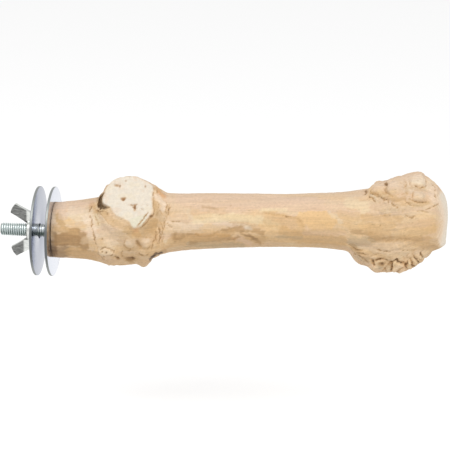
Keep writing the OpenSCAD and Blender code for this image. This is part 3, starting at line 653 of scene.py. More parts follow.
    ("rust", 0.5, 0.7, 0.4, [(403.6, 265.6), (405.6, 262.6)]),
    ("blond", 0.4, 1.3, 1.3, [(443, 205), (445, 220), (444, 238)]),
    # Painted light on the first domes: the pink and blond crowns are painted highlights, the ochre and
    # brown under and beside the domes painted shade
    ("pink", 0.6, 2.6, 0.9, [(378, 188), (392, 186)]),
    ("ochre", 0.6, 0.9, 0.7, [(371, 193), (377, 195.4), (384, 196.4), (386.6, 191), (386.6, 184)]),
    ("brown", 0.4, 1.1, 0.8, [(387, 198), (394, 200.6), (401, 200), (405, 197)]),
    ("ochre", 0.5, 0.9, 0.7, [(404.4, 181), (407, 188), (406, 194)]),
    ("blond", 0.5, 1.5, 0.5, [(377, 184.6), (379.4, 184.4)]),
    ("blond", 0.55, 2, 0.6, [(392, 183.6), (396, 184)]),
    ("ochre", 0.45, 0.9, 0.5, [(412, 187.6), (418, 189.6), (425, 188.6)]),
    ("ochre", 0.45, 1.1, 0.6, [(410, 201), (418, 204), (427, 203)]),
    ("honey", 0.4, 2.2, 1.1, [(404, 232), (420, 231), (433, 229)]),
    ("tan", 0.3, 3.6, 1.4, [(372, 230), (390, 231), (410, 230), (430, 226)]),
    ("blond", 0.35, 1.6, 0.9, [(404, 180), (412, 176.6), (424, 177)]),
    ("honey", 0.35, 1.8, 1.1, [(402, 246), (420, 246), (431, 243)]),
    ("blond", 0.4, 2.4, 0.9, [(426, 180), (432, 190), (436, 198)]),
]


MERGE_GAP, WOOD_VOXEL = 0.005, 0.495
FOOT_RECUT, FOOT_CLOSER = 1.8, 0.1
STATION_STEP, STATION_HALF = 2, 1.5
GRAIN_R = 13  # the radius at which the grain's measure across the fibres is true
STUMP_REACH, BEHIND_REACH = 19, 22  # how far from the stump's middle the cut and the wall behind it go
HOLLOW_DEPTH, SMALL_WARTS = 4.6, 90


def copy_merged(node_name, piece_name):
    """A copy of a solid, with its doubled points merged."""
    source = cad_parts[node_name]
    piece = bpy.data.objects.new(piece_name, source.data.copy())
    bpy.context.scene.collection.objects.link(piece)
    open_whole(piece)
    bpy.ops.mesh.remove_doubles(threshold=MERGE_GAP * MM)
    set_mode("OBJECT")
    return piece


def pixel_of(places):
    """The photo's pixel at which each place in mm shows."""
    rel = places * MM - np.array(eye)
    depth = -(rel @ BACK) * PIXEL / CAMERA_AWAY
    across = rel @ RIGHT / depth
    rise = rel @ UP / depth
    return np.column_stack([IMAGE / 2 + across, IMAGE / 2 - rise])


def line_gap(spots, line):
    """How far in mm each spot shows from a line of pixels, and at what share of its length."""
    line = np.array(line, float)
    best, share = np.full(len(spots), 1e9), np.zeros(len(spots))
    for i, (a, b) in enumerate(zip(line, line[1:])):
        step = b - a
        along = np.clip((spots - a) @ step / (step @ step), 0, 1)
        gap = np.hypot(*(spots - a - along[:, None] * step).T)
        nearer = gap < best
        best[nearer] = gap[nearer]
        share[nearer] = (i + along[nearer]) / (len(line) - 1)
    return best * PIXEL / MM, share


def inside_gap(spots, rim):
    """How far in mm each spot shows inside a closed rim of pixels; less than 0 outside."""
    gap = line_gap(spots, rim + rim[:1])[0]
    inside = np.zeros(len(spots), bool)
    for (ax, ay), (bx, by) in zip(rim, rim[1:] + rim[:1]):
        spans = (ay > spots[:, 1]) != (by > spots[:, 1])
        cross_x = ax + (spots[:, 1] - ay) * (bx - ax) / (by - ay + 1e-12)
        inside ^= spans & (spots[:, 0] < cross_x)
    return np.where(inside, gap, -gap)


seeded = np.random.default_rng(11)
SHUFFLED = seeded.permutation(256)
SLOPES = seeded.normal(size=(256, 3))
SLOPES /= np.linalg.norm(SLOPES, axis=1)[:, None]


def noise_at(places, sizes, shift=0):
    """Smooth noise from about -1 to 1, with blobs of this size, or of these three, in mm."""
    spot = places / np.array(sizes) + shift
    cell = np.floor(spot).astype(int)
    part = spot - cell
    ease = part**3 * (part * (part * 6 - 15) + 10)
    total = np.zeros(len(places))
    for corner in np.ndindex(2, 2, 2):
        x, y, z = ((cell + corner) & 255).T
        slope = SLOPES[SHUFFLED[(SHUFFLED[(SHUFFLED[x] + y) & 255] + z) & 255]]
        share = np.prod(np.where(corner, ease, 1 - ease), axis=1)
        total += share * np.einsum("ij,ij->i", slope, part - corner)
    return total * 1.6


def cap(away):
    """A rounded crown: 1 in its middle, 0 from its rim on."""
    return np.clip(1 - away**2, 0, 1) ** 0.8


def bell(away):
    """1 in the middle, fading away to both sides."""
    return np.exp(-(away**2))


def spot_gap(spots, middle, half_sizes):
    """How far each spot shows from a middle, in shares of half sizes given in mm."""
    return np.hypot(*((spots - middle) * PIXEL / MM / half_sizes).T)


def relaxed(piece, values, rounds):
    """Values of a piece's points after each has been levelled with its neighbours."""
    mesh = piece.data
    ends = np.empty(len(mesh.edges) * 2, np.int32)
    mesh.edges.foreach_get("vertices", ends)
    a, b = ends[::2], ends[1::2]
    count = np.bincount(a, minlength=len(values)) + np.bincount(b, minlength=len(values))
    for _ in range(rounds):
        total = np.column_stack(
            [
                np.bincount(a, values[b, i], len(values)) + np.bincount(b, values[a, i], len(values))
                for i in range(values.shape[1])
            ]
        )
        values = (values + total / count[:, None]) / 2
    return values


def sunk(piece, rounds):
    """How far each of a piece's points lies under its surroundings."""
    points = points_of(piece)
    return np.einsum("ij,ij->i", relaxed(piece, points, rounds) - points, normals_of(piece))


wood = copy_merged("wood_branch", "branch_debarked")
finish_with(wood, "REMESH", mode="VOXEL", voxel_size=WOOD_VOXEL * MM)
points = points_of(wood)
wood_low, wood_high = points.min(0), points.max(0)
# The steps of the blank are levelled. The foot keeps its rim, and the far end is dressed rounder.
level_all, level_more = relaxed(wood, points, 12), relaxed(wood, points, 70)
points += (level_all - points) * step_up(points[:, :1], 2.2, 3.4)
low_corner = step_up(pixel_of(points)[:, 1:], 229, 237)
points += (level_more - points) * step_up(points[:, :1], 168.5, 172.5) * (1 - 0.85 * low_corner)
move_points(wood, points)
points, normals = points_of(wood), normals_of(wood)

# The foot is sawn square against the washer: its rounded rim is cut off and drawn out again crisp
foot_face = (points[:, 0] < 3) & (normals[:, 0] < -0.95)
foot_out = Vector(normals[foot_face].mean(0)).normalized()
foot_at = Vector(points[foot_face].mean(0)) * MM
cut_at = foot_at - foot_out * FOOT_RECUT * MM
open_whole(wood)
bpy.ops.mesh.bisect(plane_co=cut_at, plane_no=foot_out, use_fill=True, clear_outer=True)
drawn_out = foot_out * (FOOT_RECUT + FOOT_CLOSER) * MM
bpy.ops.mesh.extrude_region_move(TRANSFORM_OT_translate={"value": drawn_out})
set_mode("OBJECT")
points, normals = points_of(wood), normals_of(wood)

# The middle of the branch at each place along it, and how far out the skin is
stations = np.arange(wood_low[0], wood_high[0], STATION_STEP)
middles = []
for at in stations:
    ring = points[np.abs(points[:, 0] - at) < STATION_HALF]
    middles.append((ring.min(0) + ring.max(0))[1:] / 2)
middles = np.array(middles)
for _ in range(3):
    middles[1:-1] = (middles[:-2] + middles[1:-1] * 2 + middles[2:]) / 4
middle_here = np.column_stack([np.interp(points[:, 0], stations, middles[:, i]) for i in (0, 1)])
spokes = points[:, 1:] - middle_here
reach = np.hypot(*spokes.T)
grain = np.column_stack([points[:, 0], spokes / np.maximum(reach, 0.1)[:, None] * GRAIN_R])

facing = normals @ BACK
shown = step_up(facing, 0.02, 0.35)
hidden = 1 - step_up(facing, -0.1, 0.25)
skin_only = step_up(reach, 2.6, 4) * step_up(points[:, 0], 2.2, 3.6) * step_up(-points[:, 0], -175.5, -173)
swell = step_up(reach, 13.2, 16.5)
at_knuckle = step_up(points[:, 0], 18, 26) * step_up(-points[:, 0], -60, -50)
at_burl = step_up(points[:, 0], 138, 150)
rough = np.clip(swell * (at_knuckle * 0.8 + at_burl), 0, 1) * skin_only

# Carving that the photo shows
true_spots = pixel_of(points)
fine_drift = np.column_stack([noise_at(points, 1.5), noise_at(points, 1.5, 31.7)])
wide_drift = np.column_stack([noise_at(points, 3.4, 51.3), noise_at(points, 3.4, 71.9)])
line_spots = true_spots + fine_drift + wide_drift * 0.8
dome_spots = true_spots + fine_drift * 0.8 + wide_drift * 2.2
broken = 0.3 + 0.7 * step_up(noise_at(points, (1.2, 1, 1), 12.4), -0.25, 0.25)
partly = step_up(noise_at(points, 4.2, 17.2), -0.25, 0.3)
# How much darker each point is painted in creases, in pits and in the rings round the domes
lift, darkened = np.zeros(len(points)), np.zeros(len(points))
for depth, width, line in CREASES:
    gap, share = line_gap(line_spots, line)
    taper = np.clip(np.minimum(share, 1 - share) * 4 + 0.3, 0, 1) * shown
    cut = bell(gap / (0.85 * width)) * taper
    lip = bell((gap - 2.3 * width) / (1.2 * width)) * taper
    gaps_in_it = 1 if width < 0.35 else broken
    lift += depth * (0.25 * lip - 0.8 * cut * (0.5 + 0.5 * gaps_in_it))
    darkened = np.maximum(darkened, cut * gaps_in_it * min(depth, 1) * (0.3 if width > 0.7 else 1.1))
for height, half_w, half_h, spot in DOMES:
    away = spot_gap(dome_spots, spot, (half_w, half_h))
    lift += 0.75 * height * cap(away) * shown
    ring = bell((away - 1.1) / 0.15) * shown * partly
    lift -= 0.18 * height * ring
    darkened = np.maximum(darkened, 0.2 * ring * broken * min(height, 1))
for depth, half_w, half_h, spot, dark in PITS:
    away = spot_gap(line_spots, spot, (half_w, half_h))
    cut = np.exp(-(away**2) * 1.3) * shown
    lift -= depth * cut
    darkened = np.maximum(darkened, dark * np.exp(-(away**2) * 0.9) * shown)

# Carving that only other sides show: small warts between the large ones, and folds
sites = np.flatnonzero((rough > 0.3) & (hidden > 0.3))
small_warts, rings = np.zeros(len(points)), np.zeros(len(points))
for centre in points[seeded.choice(sites, SMALL_WARTS)]:
    half = seeded.uniform(0.9, 2.1)
    away = np.linalg.norm(points + 0.5 * wide_drift[:, :1] - centre, axis=1) / half
    small_warts = np.maximum(small_warts, half * 0.32 * cap(away))
    rings = np.maximum(rings, bell((away - 1.1) / 0.16) * (away > 1))
lift += hidden * (small_warts - 0.12 * rings * partly)
fold = bell(noise_at(points, (8, 4.4, 4.4), 5.3) / 0.06) * rough
lift -= (0.1 + 0.3 * hidden) * fold * broken
fold_darkened = fold * (0.05 + 0.3 * hidden)
darkened = np.maximum(darkened, broken * np.maximum(fold_darkened, 0.3 * rings * partly * hidden))

# What peeling and scraping leave everywhere: long low ridges, slight hollows and pimples
lift += 0.3 * noise_at(grain, (26, 6, 6)) * skin_only
lift += 0.09 * noise_at(grain, (14, 1.5, 1.5), 3.1) * skin_only
lift += (0.09 + 0.26 * rough) * noise_at(points, (2.6, 2.1, 2.1), 9.2) * skin_only
lift += 0.13 * rough * noise_at(points, (1.2, 1, 1), 4.4)

# The stump is sawn flat. Its plane lies through what the blank shows inside its rim.
in_rim = inside_gap(true_spots + fine_drift * 0.12, STUMP_RIM)
core = (in_rim > 3) & (facing > 0.3)
middle = points[core].mean(0)
plane = np.linalg.svd(points[core][::7] - middle)[2][2]
plane *= np.sign(plane @ BACK)
from_stump = np.linalg.norm(points - middle, axis=1)
near = (from_stump < STUMP_REACH) * step_up(facing, 0, 0.15) * (in_rim > -5)
sawn = step_up(in_rim, -0.35, 0.45) * near
pitted = np.where(darkened > 0.12, lift, 0)
level = np.minimum(pitted, 0) + 0.02 * noise_at(points, (5, 0.8, 0.8), 2.2)
fall = np.where(in_rim < 0, np.exp(in_rim / 0.8) - 1 + 0.05 * in_rim, 0)
carved = points + normals * lift[:, None]
height = (carved - middle) @ plane
target = np.minimum(height, fall)
target += (level - target) * sawn
carved += plane * ((target - height) * near)[:, None]

# Spots of the outline that are planed down a little, or left standing
outline_now = step_up(facing, -0.75, -0.3)
for depth, radius, spot in TRIMS:
    away = spot_gap(true_spots, spot, radius)
    carved -= normals * (depth * bell(away) * outline_now)[:, None]

# The hollow beside the stump, with steep walls
hollow = step_up(inside_gap(line_spots, SIDE_HOLLOW), -0.3, 1.5) * (1 - sawn) * (facing > -0.2)
carved -= (BACK * HOLLOW_DEPTH + (0, 0, 0.6)) * hollow[:, None]
# Behind the stump's left rim the wall falls away
behind_rim = bell(line_gap(true_spots, [(104, 189.5), (106.6, 184.5)])[0] / 2)
behind_rim *= step_up(-in_rim, 0.1, 1.3) * (from_stump < BEHIND_REACH)
carved += (RIGHT * 0.9 - UP * 0.2) * behind_rim[:, None]
move_points(wood, np.clip(carved, wood_low, wood_high))
shade(wood)

# Creases are painted darker, for dirt and for the shade in them, and crowns worn paler: how far each point
# lies under its surroundings
under_fine, under_wide = sunk(wood, 3), sunk(wood, 18)
colour = np.tile(srgb(WOOD["sapwood"]), (len(points), 1))


def paint(name, amount):
    """Lays one of the wood's colours over what is there."""
    colour[:] += (srgb(WOOD[name]) - colour) * np.clip(amount, 0, 1)[:, None]


streak = noise_at(grain, (30, 3.4, 3.4), 7.7)
flake = noise_at(grain, (11, 2.4, 2.4), 1.9)
fringe = noise_at(grain, (4.5, 1, 1), 6.1)
speck = noise_at(points, (1.1, 0.8, 0.8), 3.7)
scraped = flake + 0.45 * fringe + 0.2 * speck
paint("pink", step_up(streak, 0, 0.5) * 0.6)
paint("honey", step_up(-streak, 0.05, 0.5) * 0.5)
# The undersides painted tan: painted shade
paint("tan", step_up(-normals[:, 2], 0.1, 0.95) * 0.35)
paint("straw", step_up(scraped, 0.28, 0.4) * 0.3)
paint("tan", step_up(-scraped, 0.22, 0.34) * (0.2 + 0.15 * hidden))
paint("brown", step_up(-scraped - 0.4 * streak, 0.45, 0.6) * (0.1 + 0.2 * hidden))
broad = step_up(facing, -0.1, 0.2)
for name, strength, width, ragged, line in STAINS:
    gap = line_gap(line_spots, line)[0]
    edge = width + ragged * (fringe * 0.9 + flake * 0.6 + speck * 0.35)
    paint(name, strength * step_up(edge - gap, -0.4, 0.5) * broad)
paint("sapwood", rough * 0.25)
# Crowns painted paler, and creases tan and brown: dirt and painted shade
paint("straw", step_up(-under_wide, 0.08, 0.5) * 0.3 * rough)
paint("tan", step_up(under_wide, 0.06, 0.45) * 0.6)
paint("brown", step_up(under_fine, 0.03, 0.16) * 0.55)
paint("tan", rough * step_up(speck + 0.6 * fringe, 0.15, 0.5) * 0.25)
tip = step_up(points[:, 0] + 0.5 * speck, 172.6, 175) * step_up(normals[:, 0] + 0.1 * fringe, 0.7, 0.97)
foot = step_up(-points[:, 0], -3.2, -2) * step_up(-reach, -8, -6)
cut_face = np.maximum.reduce([foot, tip, sawn])
bent = 0.011 * (true_spots[:, 1] - 220) ** 2
paint("blond", tip * (0.15 + 0.7 * step_up(true_spots[:, 0] + 5 * fringe + bent, 439, 445)))
paint("cream", tip * step_up(true_spots[:, 0] + bent, 443, 448) * 0.9)
paint("cream", foot)
paint("face", sawn)
# The upward faces painted rose: painted light from above
paint("rose", step_up(normals[:, 2], 0.6, 0.95) * broad * (1 - sawn) * 0.45)
blush = noise_at(points, (5, 3.4, 3.4), 8.1) + 0.4 * speck
paint("pink", sawn * step_up(blush, 0.15, 0.6) * 0.25)
paint("straw", sawn * step_up(-blush, 0.1, 0.6) * 0.2)
near_rim = sawn * step_up(-in_rim, -1.3, -0.2)
paint("pink", near_rim * 0.4 * step_up(fringe + speck, -0.2, 0.3))
below_lip = [(145, 222.4), (137, 228), (134.2, 228.6), (131.2, 226.9)]
lip_gap = inside_gap(line_spots, STUMP_LIP + below_lip)
paint("lip", step_up(lip_gap, -0.3, 0.4) * sawn * 0.8)
paint("bark", hollow * 0.78)
crumbs = noise_at(points, (0.9, 0.7, 0.7), 14.6)
paint("grey", hollow * step_up(crumbs, 0.05, 0.35) * 0.6)
# The lower part of the hollow painted darker: painted shade
paint("darkest", hollow * step_up(true_spots[:, 1] + 8 * crumbs, 202, 209) * 0.3)
# Creases, pits and the rings round the domes painted darker
paint("brown", step_up(darkened, 0.08, 0.5) * 0.75)
paint("umber", step_up(darkened, 0.35, 0.9) * 0.7)
paint("pit", step_up(darkened, 0.1, 0.6) * sawn * 0.5)
note(wood, "painted_wood", "FLOAT_COLOR", linear(colour))
note(wood, "grain_mm", "FLOAT_VECTOR", grain)
note(wood, "sawn_face", "FLOAT", cut_face)


# Nearly all that a noise gives lies between these
NOISE_SPAN = {1: 0.3, 2: 0.7}


def debarked_wood():
    """Bare hardwood, peeled and scraped: dull, with fine fibres along the branch."""
    made, t = new_material("debarked hardwood, scraped")
    painted = node(t, "Attribute", attribute_name="painted_wood").outputs["Color"]
    grain_mm = node(t, "Attribute", attribute_name="grain_mm").outputs["Vector"]
    sawn_face = node(t, "Attribute", attribute_name="sawn_face").outputs["Fac"]
    here = node(t, "TexCoord").outputs["Object"]
    # Fibres show 0.4 mm across and some 12 mm long; the streaks are 2 mm by 30 mm
    lay_fine = node(t, "Mapping", {0: grain_mm}, {"Scale": (0.08, 2.4, 2.4)})
    fibres = node(t, "TexNoise", {0: lay_fine}, {"Scale": 1, "Detail": 3, "Roughness": 0.6})
    lay_wide = node(t, "Mapping", {0: grain_mm}, {"Scale": (0.035, 0.55, 0.55)})
    streak_look = {"Scale": 1, "Detail": 4, "Roughness": 0.65, "Distortion": 0.4}
    streaks = node(t, "TexNoise", {0: lay_wide}, streak_look)
    # Pimples and scuffs of about 1 mm
    scuffs = node(t, "TexNoise", {0: here}, {"Scale": 900, "Detail": 3, "Roughness": 0.6})
    # Open pores: short dark dashes, 0.25 mm by 2 mm
    lay_pores = node(t, "Mapping", {0: grain_mm}, {"Scale": (0.45, 3.6, 3.6)})
    pores = node(t, "TexNoise", {0: lay_pores}, {"Scale": 1, "Detail": 1, "Roughness": 0.5})
    fibre_tone = node(t, "MapRange", {0: fibres}, {**NOISE_SPAN, 3: 0.9, 4: 1.05})
    streak_tone = node(t, "MapRange", {0: streaks}, {**NOISE_SPAN, 3: 0.93, 4: 1.05})
    scuff_tone = node(t, "MapRange", {0: scuffs}, {**NOISE_SPAN, 3: 0.91, 4: 1.05})
    pore_tone = node(t, "MapRange", {0: pores}, {1: 0.68, 2: 0.76, 3: 1, 4: 0.72})
    both = node(t, "Math", {0: fibre_tone, 1: streak_tone}, operation="MULTIPLY")
    all_three = node(t, "Math", {0: both, 1: pore_tone}, operation="MULTIPLY")
    skin_tone = node(t, "Mix", {0: sawn_face, 2: all_three}, {3: 1})
    tone_all = node(t, "Math", {0: skin_tone, 1: scuff_tone}, operation="MULTIPLY")
    toned = node(t, "VectorMath", {0: painted, "Scale": tone_all}, operation="SCALE")
    # Saw marks on the cut faces, 2.2 mm apart and wavering
    saw = node(t, "TexWave", {0: here}, {"Scale": 140, "Distortion": 3, "Detail": 2})
    saw_lines = node(t, "Math", {0: saw.outputs["Fac"], 1: sawn_face}, operation="MULTIPLY")
    relief = node(t, "Math", {0: fibres, 1: scuffs}, operation="ADD")
    relief_all = node(t, "Math", {0: relief, 1: saw_lines}, operation="ADD")
    bump = node(t, "Bump", {"Height": relief_all}, {"Strength": 0.4, "Distance": 0.12 * MM})
    dull = node(t, "MapRange", {0: streaks}, {**NOISE_SPAN, 3: 0.62, 4: 0.8})
    surface = {"Base Color": toned, "Roughness": dull, "Normal": bump}
    shader = node(t, "BsdfPrincipled", surface, {"Specular IOR Level": 0.35})
    node(t, "OutputMaterial", {"Surface": shader})
    return made


# The middle of the stretch of a washer's rim that is painted in shade, and how far from it the painted
# shade starts to fade and ends
RIM_SHADE_HEIGHT, RIM_SHADE_TO, RIM_LIGHT_FROM = -2 * MM, 6 * MM, 12 * MM


def stamped_zinc(name, bright, dim):
    """Sheet with bright zinc: nearly a mirror, with clouds and rolling lines, and a dull sheared rim."""
    made, t = new_material(name)
    here = node(t, "TexCoord").outputs["Object"]
    rim = node(t, "Attribute", attribute_name="sheared_rim").outputs["Fac"]
    # Clouds of the plating, some 6 mm wide
    clouds = node(t, "TexNoise", {0: here}, {"Scale": 160, "Detail": 3, "Roughness": 0.55})
    flat_tint = node(t, "Mix", {0: clouds}, {6: linear(dim), 7: linear(bright)}, data_type="RGBA")
    # The sheared rim is painted dark halfway up, as painted shade, and lighter above and below it, as
    # painted highlights
    place = node(t, "SeparateXYZ", {0: here})
    height = node(t, "Math", {0: place.outputs["Z"]}, {1: RIM_SHADE_HEIGHT}, operation="SUBTRACT")
    from_rim_shade = node(t, "Math", {0: height}, operation="ABSOLUTE")
    lighter_side = node(t, "MapRange", {0: from_rim_shade}, {1: RIM_SHADE_TO, 2: RIM_LIGHT_FROM, 3: 0, 4: 1})
    rim_tints = {6: linear("#676a6a"), 7: linear("#8e918f")}
    rim_tint = node(t, "Mix", {0: lighter_side}, rim_tints, data_type="RGBA")
    tint = node(t, "Mix", {0: rim, 6: flat_tint, 7: rim_tint}, data_type="RGBA")
    # Rolling lines from the sheet, 0.35 mm apart
    lay = node(t, "Mapping", {0: here}, {"Scale": (2900, 2900, 60), "Rotation": (0.35, 0, 0)})
    lines = node(t, "TexNoise", {0: lay}, {"Scale": 1, "Detail": 2, "Roughness": 0.6})
    polish = node(t, "MapRange", {0: clouds}, {**NOISE_SPAN, 3: 0.1, 4: 0.19})
    rough = node(t, "Mix", {0: rim, 2: polish}, {3: 0.45})
    bump = node(t, "Bump", {"Height": lines}, {"Strength": 0.12, "Distance": 0.02 * MM})
    surface = {"Base Color": tint, "Roughness": rough, "Normal": bump}
    shader = node(t, "BsdfPrincipled", surface, {"Metallic": 1})
    node(t, "OutputMaterial", {"Surface": shader})
    return made


# Where along the stud the stretch that the wires polish begins, and from where the polish is complete
POLISH_FROM, POLISH_FULL = -8 * MM, -6.2 * MM
MOST_POLISH = 0.85


def rolled_zinc():
    """A rolled thread with bright zinc: its crests shine and are painted bright, its roots grey, for some
    dirt and painted shade.

    Its upper side is painted lighter and its lower side darker, as painted light from above, and the wires
    polish the stretch between the washers, where a bright band is painted as a highlight."""
    made, t = new_material("zinc-plated steel, rolled thread")
    here = node(t, "TexCoord").outputs["Object"]
    crest = node(t, "Attribute", attribute_name="crest").outputs["Fac"]
    clouds = node(t, "TexNoise", {0: here}, {"Scale": 420, "Detail": 4, "Roughness": 0.65})
    wear = node(t, "MapRange", {0: clouds}, {**NOISE_SPAN, 3: -0.18, 4: 0.18})
    high = node(t, "Math", {0: crest, 1: wear}, operation="ADD", use_clamp=True)
    place = node(t, "SeparateXYZ", {0: here})
    x, y, z = (place.outputs[axis] for axis in "XYZ")
    # The upper side painted lighter and the lower side darker: painted light from above
    upper = node(t, "MapRange", {0: z}, {1: -1.2 * MM, 2: 0.6 * MM, 3: 0, 4: 1})
    inside = node(t, "MapRange", {0: x}, {1: POLISH_FROM, 2: POLISH_FULL, 3: 0, 4: 1})
    lower_side_tints = {6: linear("#7d8a87"), 7: linear("#ccd6d3")}
    dull = node(t, "Mix", {0: high}, lower_side_tints, data_type="RGBA")
    upper_side_tints = {6: linear("#a9b4b2"), 7: linear("#f2f8f7")}
    lighter_side = node(t, "Mix", {0: high}, upper_side_tints, data_type="RGBA")
    outside = node(t, "Mix", {0: upper, 6: dull, 7: lighter_side}, data_type="RGBA")
    # There a painted highlight shows as one bright band above the middle, with painted shade, grey-green,
    # below it
    lower_edge = node(t, "MapRange", {0: z}, {1: -0.5 * MM, 2: 1 * MM, 3: 0, 4: 1})
    upper_edge = node(t, "MapRange", {0: z}, {1: 1.6 * MM, 2: 2.7 * MM, 3: 1, 4: 0.25})
    band = node(t, "Math", {0: lower_edge, 1: upper_edge}, operation="MULTIPLY")
    band_tints = {6: linear("#38433c"), 7: linear("#f6faf6")}
    painted_band = node(t, "Mix", {0: band}, band_tints, data_type="RGBA")
    share = node(t, "Math", {0: inside}, {1: MOST_POLISH}, operation="MULTIPLY")
    tint = node(t, "Mix", {0: share, 6: outside, 7: painted_band}, data_type="RGBA")
    worn = node(t, "MapRange", {0: high}, {1: 0, 2: 1, 3: 0.5, 4: 0.2})
    rough = node(t, "Mix", {0: inside, 2: worn}, {3: 0.2})
    bump = node(t, "Bump", {"Height": clouds}, {"Strength": 0.25, "Distance": 0.04 * MM})
    # The wires have rounded the thread over, so the stretch between them catches light like a plain rod
    around = node(t, "CombineXYZ", {1: y, 2: z})
    to_world = {"vector_type": "NORMAL", "convert_from": "OBJECT", "convert_to": "WORLD"}
    outward = node(t, "VectorTransform", {0: around}, **to_world)
    leaning = node(t, "Mix", {0: share, 4: bump, 5: outward}, data_type="VECTOR")
    facing = node(t, "VectorMath", {0: leaning}, operation="NORMALIZE")
    surface = {"Base Color": tint, "Roughness": rough, "Normal": facing}
    shader = node(t, "BsdfPrincipled", surface, {"Metallic": 0.85})
    node(t, "OutputMaterial", {"Surface": shader})
    return made


def forged_nickel():
    """A forged nut with nickel, brushed: its flats painted grey as painted reflection, its hub and its
    edges painted bright as painted highlights.
    """
    made, t = new_material("nickel-plated steel, cold-forged")
    here = node(t, "TexCoord").outputs["Object"]
    painted_light = node(t, "Attribute", attribute_name="painted_light").outputs["Fac"]
    # Brush marks across the wings, 0.2 mm wide and 2.5 mm long
    lay = node(t, "Mapping", {0: here}, {"Scale": (400, 5000, 5000), "Rotation": (0, 0.7, 0)})
    brush = node(t, "TexNoise", {0: lay}, {"Scale": 1, "Detail": 3, "Roughness": 0.65})
    clouds = node(t, "TexNoise", {0: here}, {"Scale": 500, "Detail": 3, "Roughness": 0.6})
    scatter = node(t, "MapRange", {0: brush}, {**NOISE_SPAN, 3: -0.22, 4: 0.22})
    high = node(t, "Math", {0: painted_light, 1: scatter}, operation="ADD", use_clamp=True)
    tints = {6: linear("#393938"), 7: linear("#e2e4e0")}
    tint = node(t, "Mix", {0: high}, tints, data_type="RGBA")
    rough = node(t, "MapRange", {0: clouds}, {**NOISE_SPAN, 3: 0.2, 4: 0.34})
    bump = node(t, "Bump", {"Height": brush}, {"Strength": 0.35, "Distance": 0.03 * MM})
    surface = {"Base Color": tint, "Roughness": rough, "Normal": bump}
    shader = node(t, "BsdfPrincipled", surface, {"Metallic": 1})
    node(t, "OutputMaterial", {"Surface": shader})
    return made


# The pieces, with what their materials read at each point
SHEARED_FROM, SHEARED_FULL = WASHER_R - 0.16, WASHER_R - 0.02
UPPER_GREY, LOWER_GREY = 11.3, 12.9  # how far out along the stud the wing above and below is painted grey, as painted reflection

dress(wood, debarked_wood(), "perch", "debarked_wood", "wood_branch")
bolt = thread_rod()
note(bolt, "crest", "FLOAT", step_up(np.hypot(*points_of(bolt)[:, 1:].T), STUD_ROOT_R, STUD_R))
dress(bolt, rolled_zinc(), "perch", "zinc_plated_bolt", "hanger_bolt")
inner = stamp_washer("washer_inner_zinc", 0)
outer = stamp_washer("washer_outer_zinc", -WIRE_GAP - WASHER_T)
for washer in (inner, outer):
    rim_r = np.hypot(points_of(washer)[:, 1], points_of(washer)[:, 2] + WASHER_DROP)
    note(washer, "sheared_rim", "FLOAT", step_up(rim_r, SHEARED_FROM, SHEARED_FULL))
# The outer washer gets a darker copy of the same zinc: painted shade
bright_sheet = stamped_zinc("zinc-plated steel, stamped sheet", "#e3e6ee", "#d0d5e2")
shaded_sheet = stamped_zinc("zinc-plated steel, stamped sheet, dimmer", "#a3a8b8", "#858b9b")
dress(inner, bright_sheet, "inner_washer", "zinc_plated_washer", "inner_washer")
dress(outer, shaded_sheet, "outer_washer", "zinc_plated_washer", "outer_washer")
nut = forge_nut()
spots_on_nut, out_of_nut = points_of(nut), normals_of(nut)
off_axis = np.hypot(spots_on_nut[:, 1], spots_on_nut[:, 2])
edge_out = -sunk(nut, 8)
side_on = np.abs(out_of_nut @ (0, math.cos(math.radians(NUT_TURN)), math.sin(math.radians(NUT_TURN))))
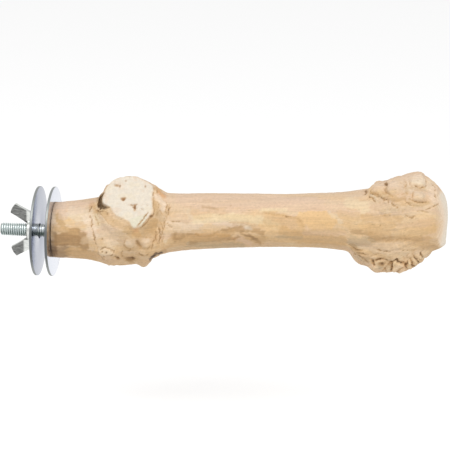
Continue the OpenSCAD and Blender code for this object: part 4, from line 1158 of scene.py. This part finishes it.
# The wings are painted grey past the hub, one of them only farther out, as painted reflection; the edges
# are painted bright, as painted highlights, and the mouth of the hole and the hub's end dark, as painted
# shade
past_hub = -spots_on_nut[:, 0] - np.where(spots_on_nut[:, 2] > 0, UPPER_GREY, LOWER_GREY)
on_wing = step_up(past_hub, -0.5, 0.5) * step_up(off_axis, 3.9, 4.6) * step_up(side_on, 0.3, 0.8)
hub_end = step_up(-spots_on_nut[:, 0], 10.7, 11) * step_up(-off_axis, -4.8, -4.4)
hole = step_up(-off_axis, -3.9, -3.5)
recess = np.maximum.reduce([step_up(-edge_out, 0.01, 0.1), hole, hub_end])
bright = 0.85 - 0.66 * on_wing + step_up(edge_out, 0.02, 0.1) - 0.7 * recess
note(nut, "painted_light", "FLOAT", np.clip(bright, 0, 1))
dress(nut, forged_nickel(), "wing_nut", "nickel_plated_nut", "wing_nut")


# The studio
FLOOR_Z = -0.085
LAMP_AIM = Vector((0.08, 0, 0.01))
WHITE = (1, 1, 1, 1)


def camera_or_gloss(t):
    """1 where the camera, a gloss or clear glass sees the surface directly."""
    seen = node(t, "LightPath").outputs
    by_eye = {0: seen["Is Camera Ray"], 1: seen["Is Glossy Ray"]}
    either = node(t, "Math", by_eye, operation="MAXIMUM")
    return node(t, "Math", {0: either, 1: seen["Is Transmission Ray"]}, operation="MAXIMUM")


deselect()
bpy.ops.mesh.primitive_plane_add(size=8, location=(0, 0, FLOOR_Z))
floor = named("studio_floor")
floor_mat, t = new_material("pale floor")
plain = node(t, "BsdfDiffuse", values={"Color": (0.8, 0.8, 0.8, 1)})
glow = node(t, "Emission", values={"Color": WHITE, "Strength": 0.36})
lit = node(t, "AddShader", {0: plain, 1: glow})
mixed = node(t, "MixShader", {0: camera_or_gloss(t), 1: plain, 2: lit})
node(t, "OutputMaterial", {"Surface": mixed})
floor.data.materials.append(floor_mat)


def softbox(name, azimuth, elevation, away, size, watts):
    back = direction(azimuth, elevation)
    bpy.ops.object.light_add(type="AREA", location=LAMP_AIM + back * away)
    lamp = bpy.context.object
    lamp.name = name
    lamp.data.energy = watts
    lamp.data.size = size
    lamp.rotation_euler = back.to_track_quat("Z", "Y").to_euler()


softbox("key_left", -35, 50, 1.4, 0.9, 8)
softbox("fill_right", 60, 35, 1.6, 1, 8)

world = bpy.data.worlds.new("white studio")
bpy.context.scene.world = world
world.use_nodes = True
t = world.node_tree
t.nodes.clear()
soft = node(t, "Background", values={"Color": WHITE, "Strength": 0.57})
white = node(t, "Background", values={"Color": WHITE, "Strength": 1})
mixed = node(t, "MixShader", {0: camera_or_gloss(t), 1: soft, 2: white})
node(t, "OutputWorld", {"Surface": mixed})

bpy.context.scene.view_settings.view_transform = "Standard"
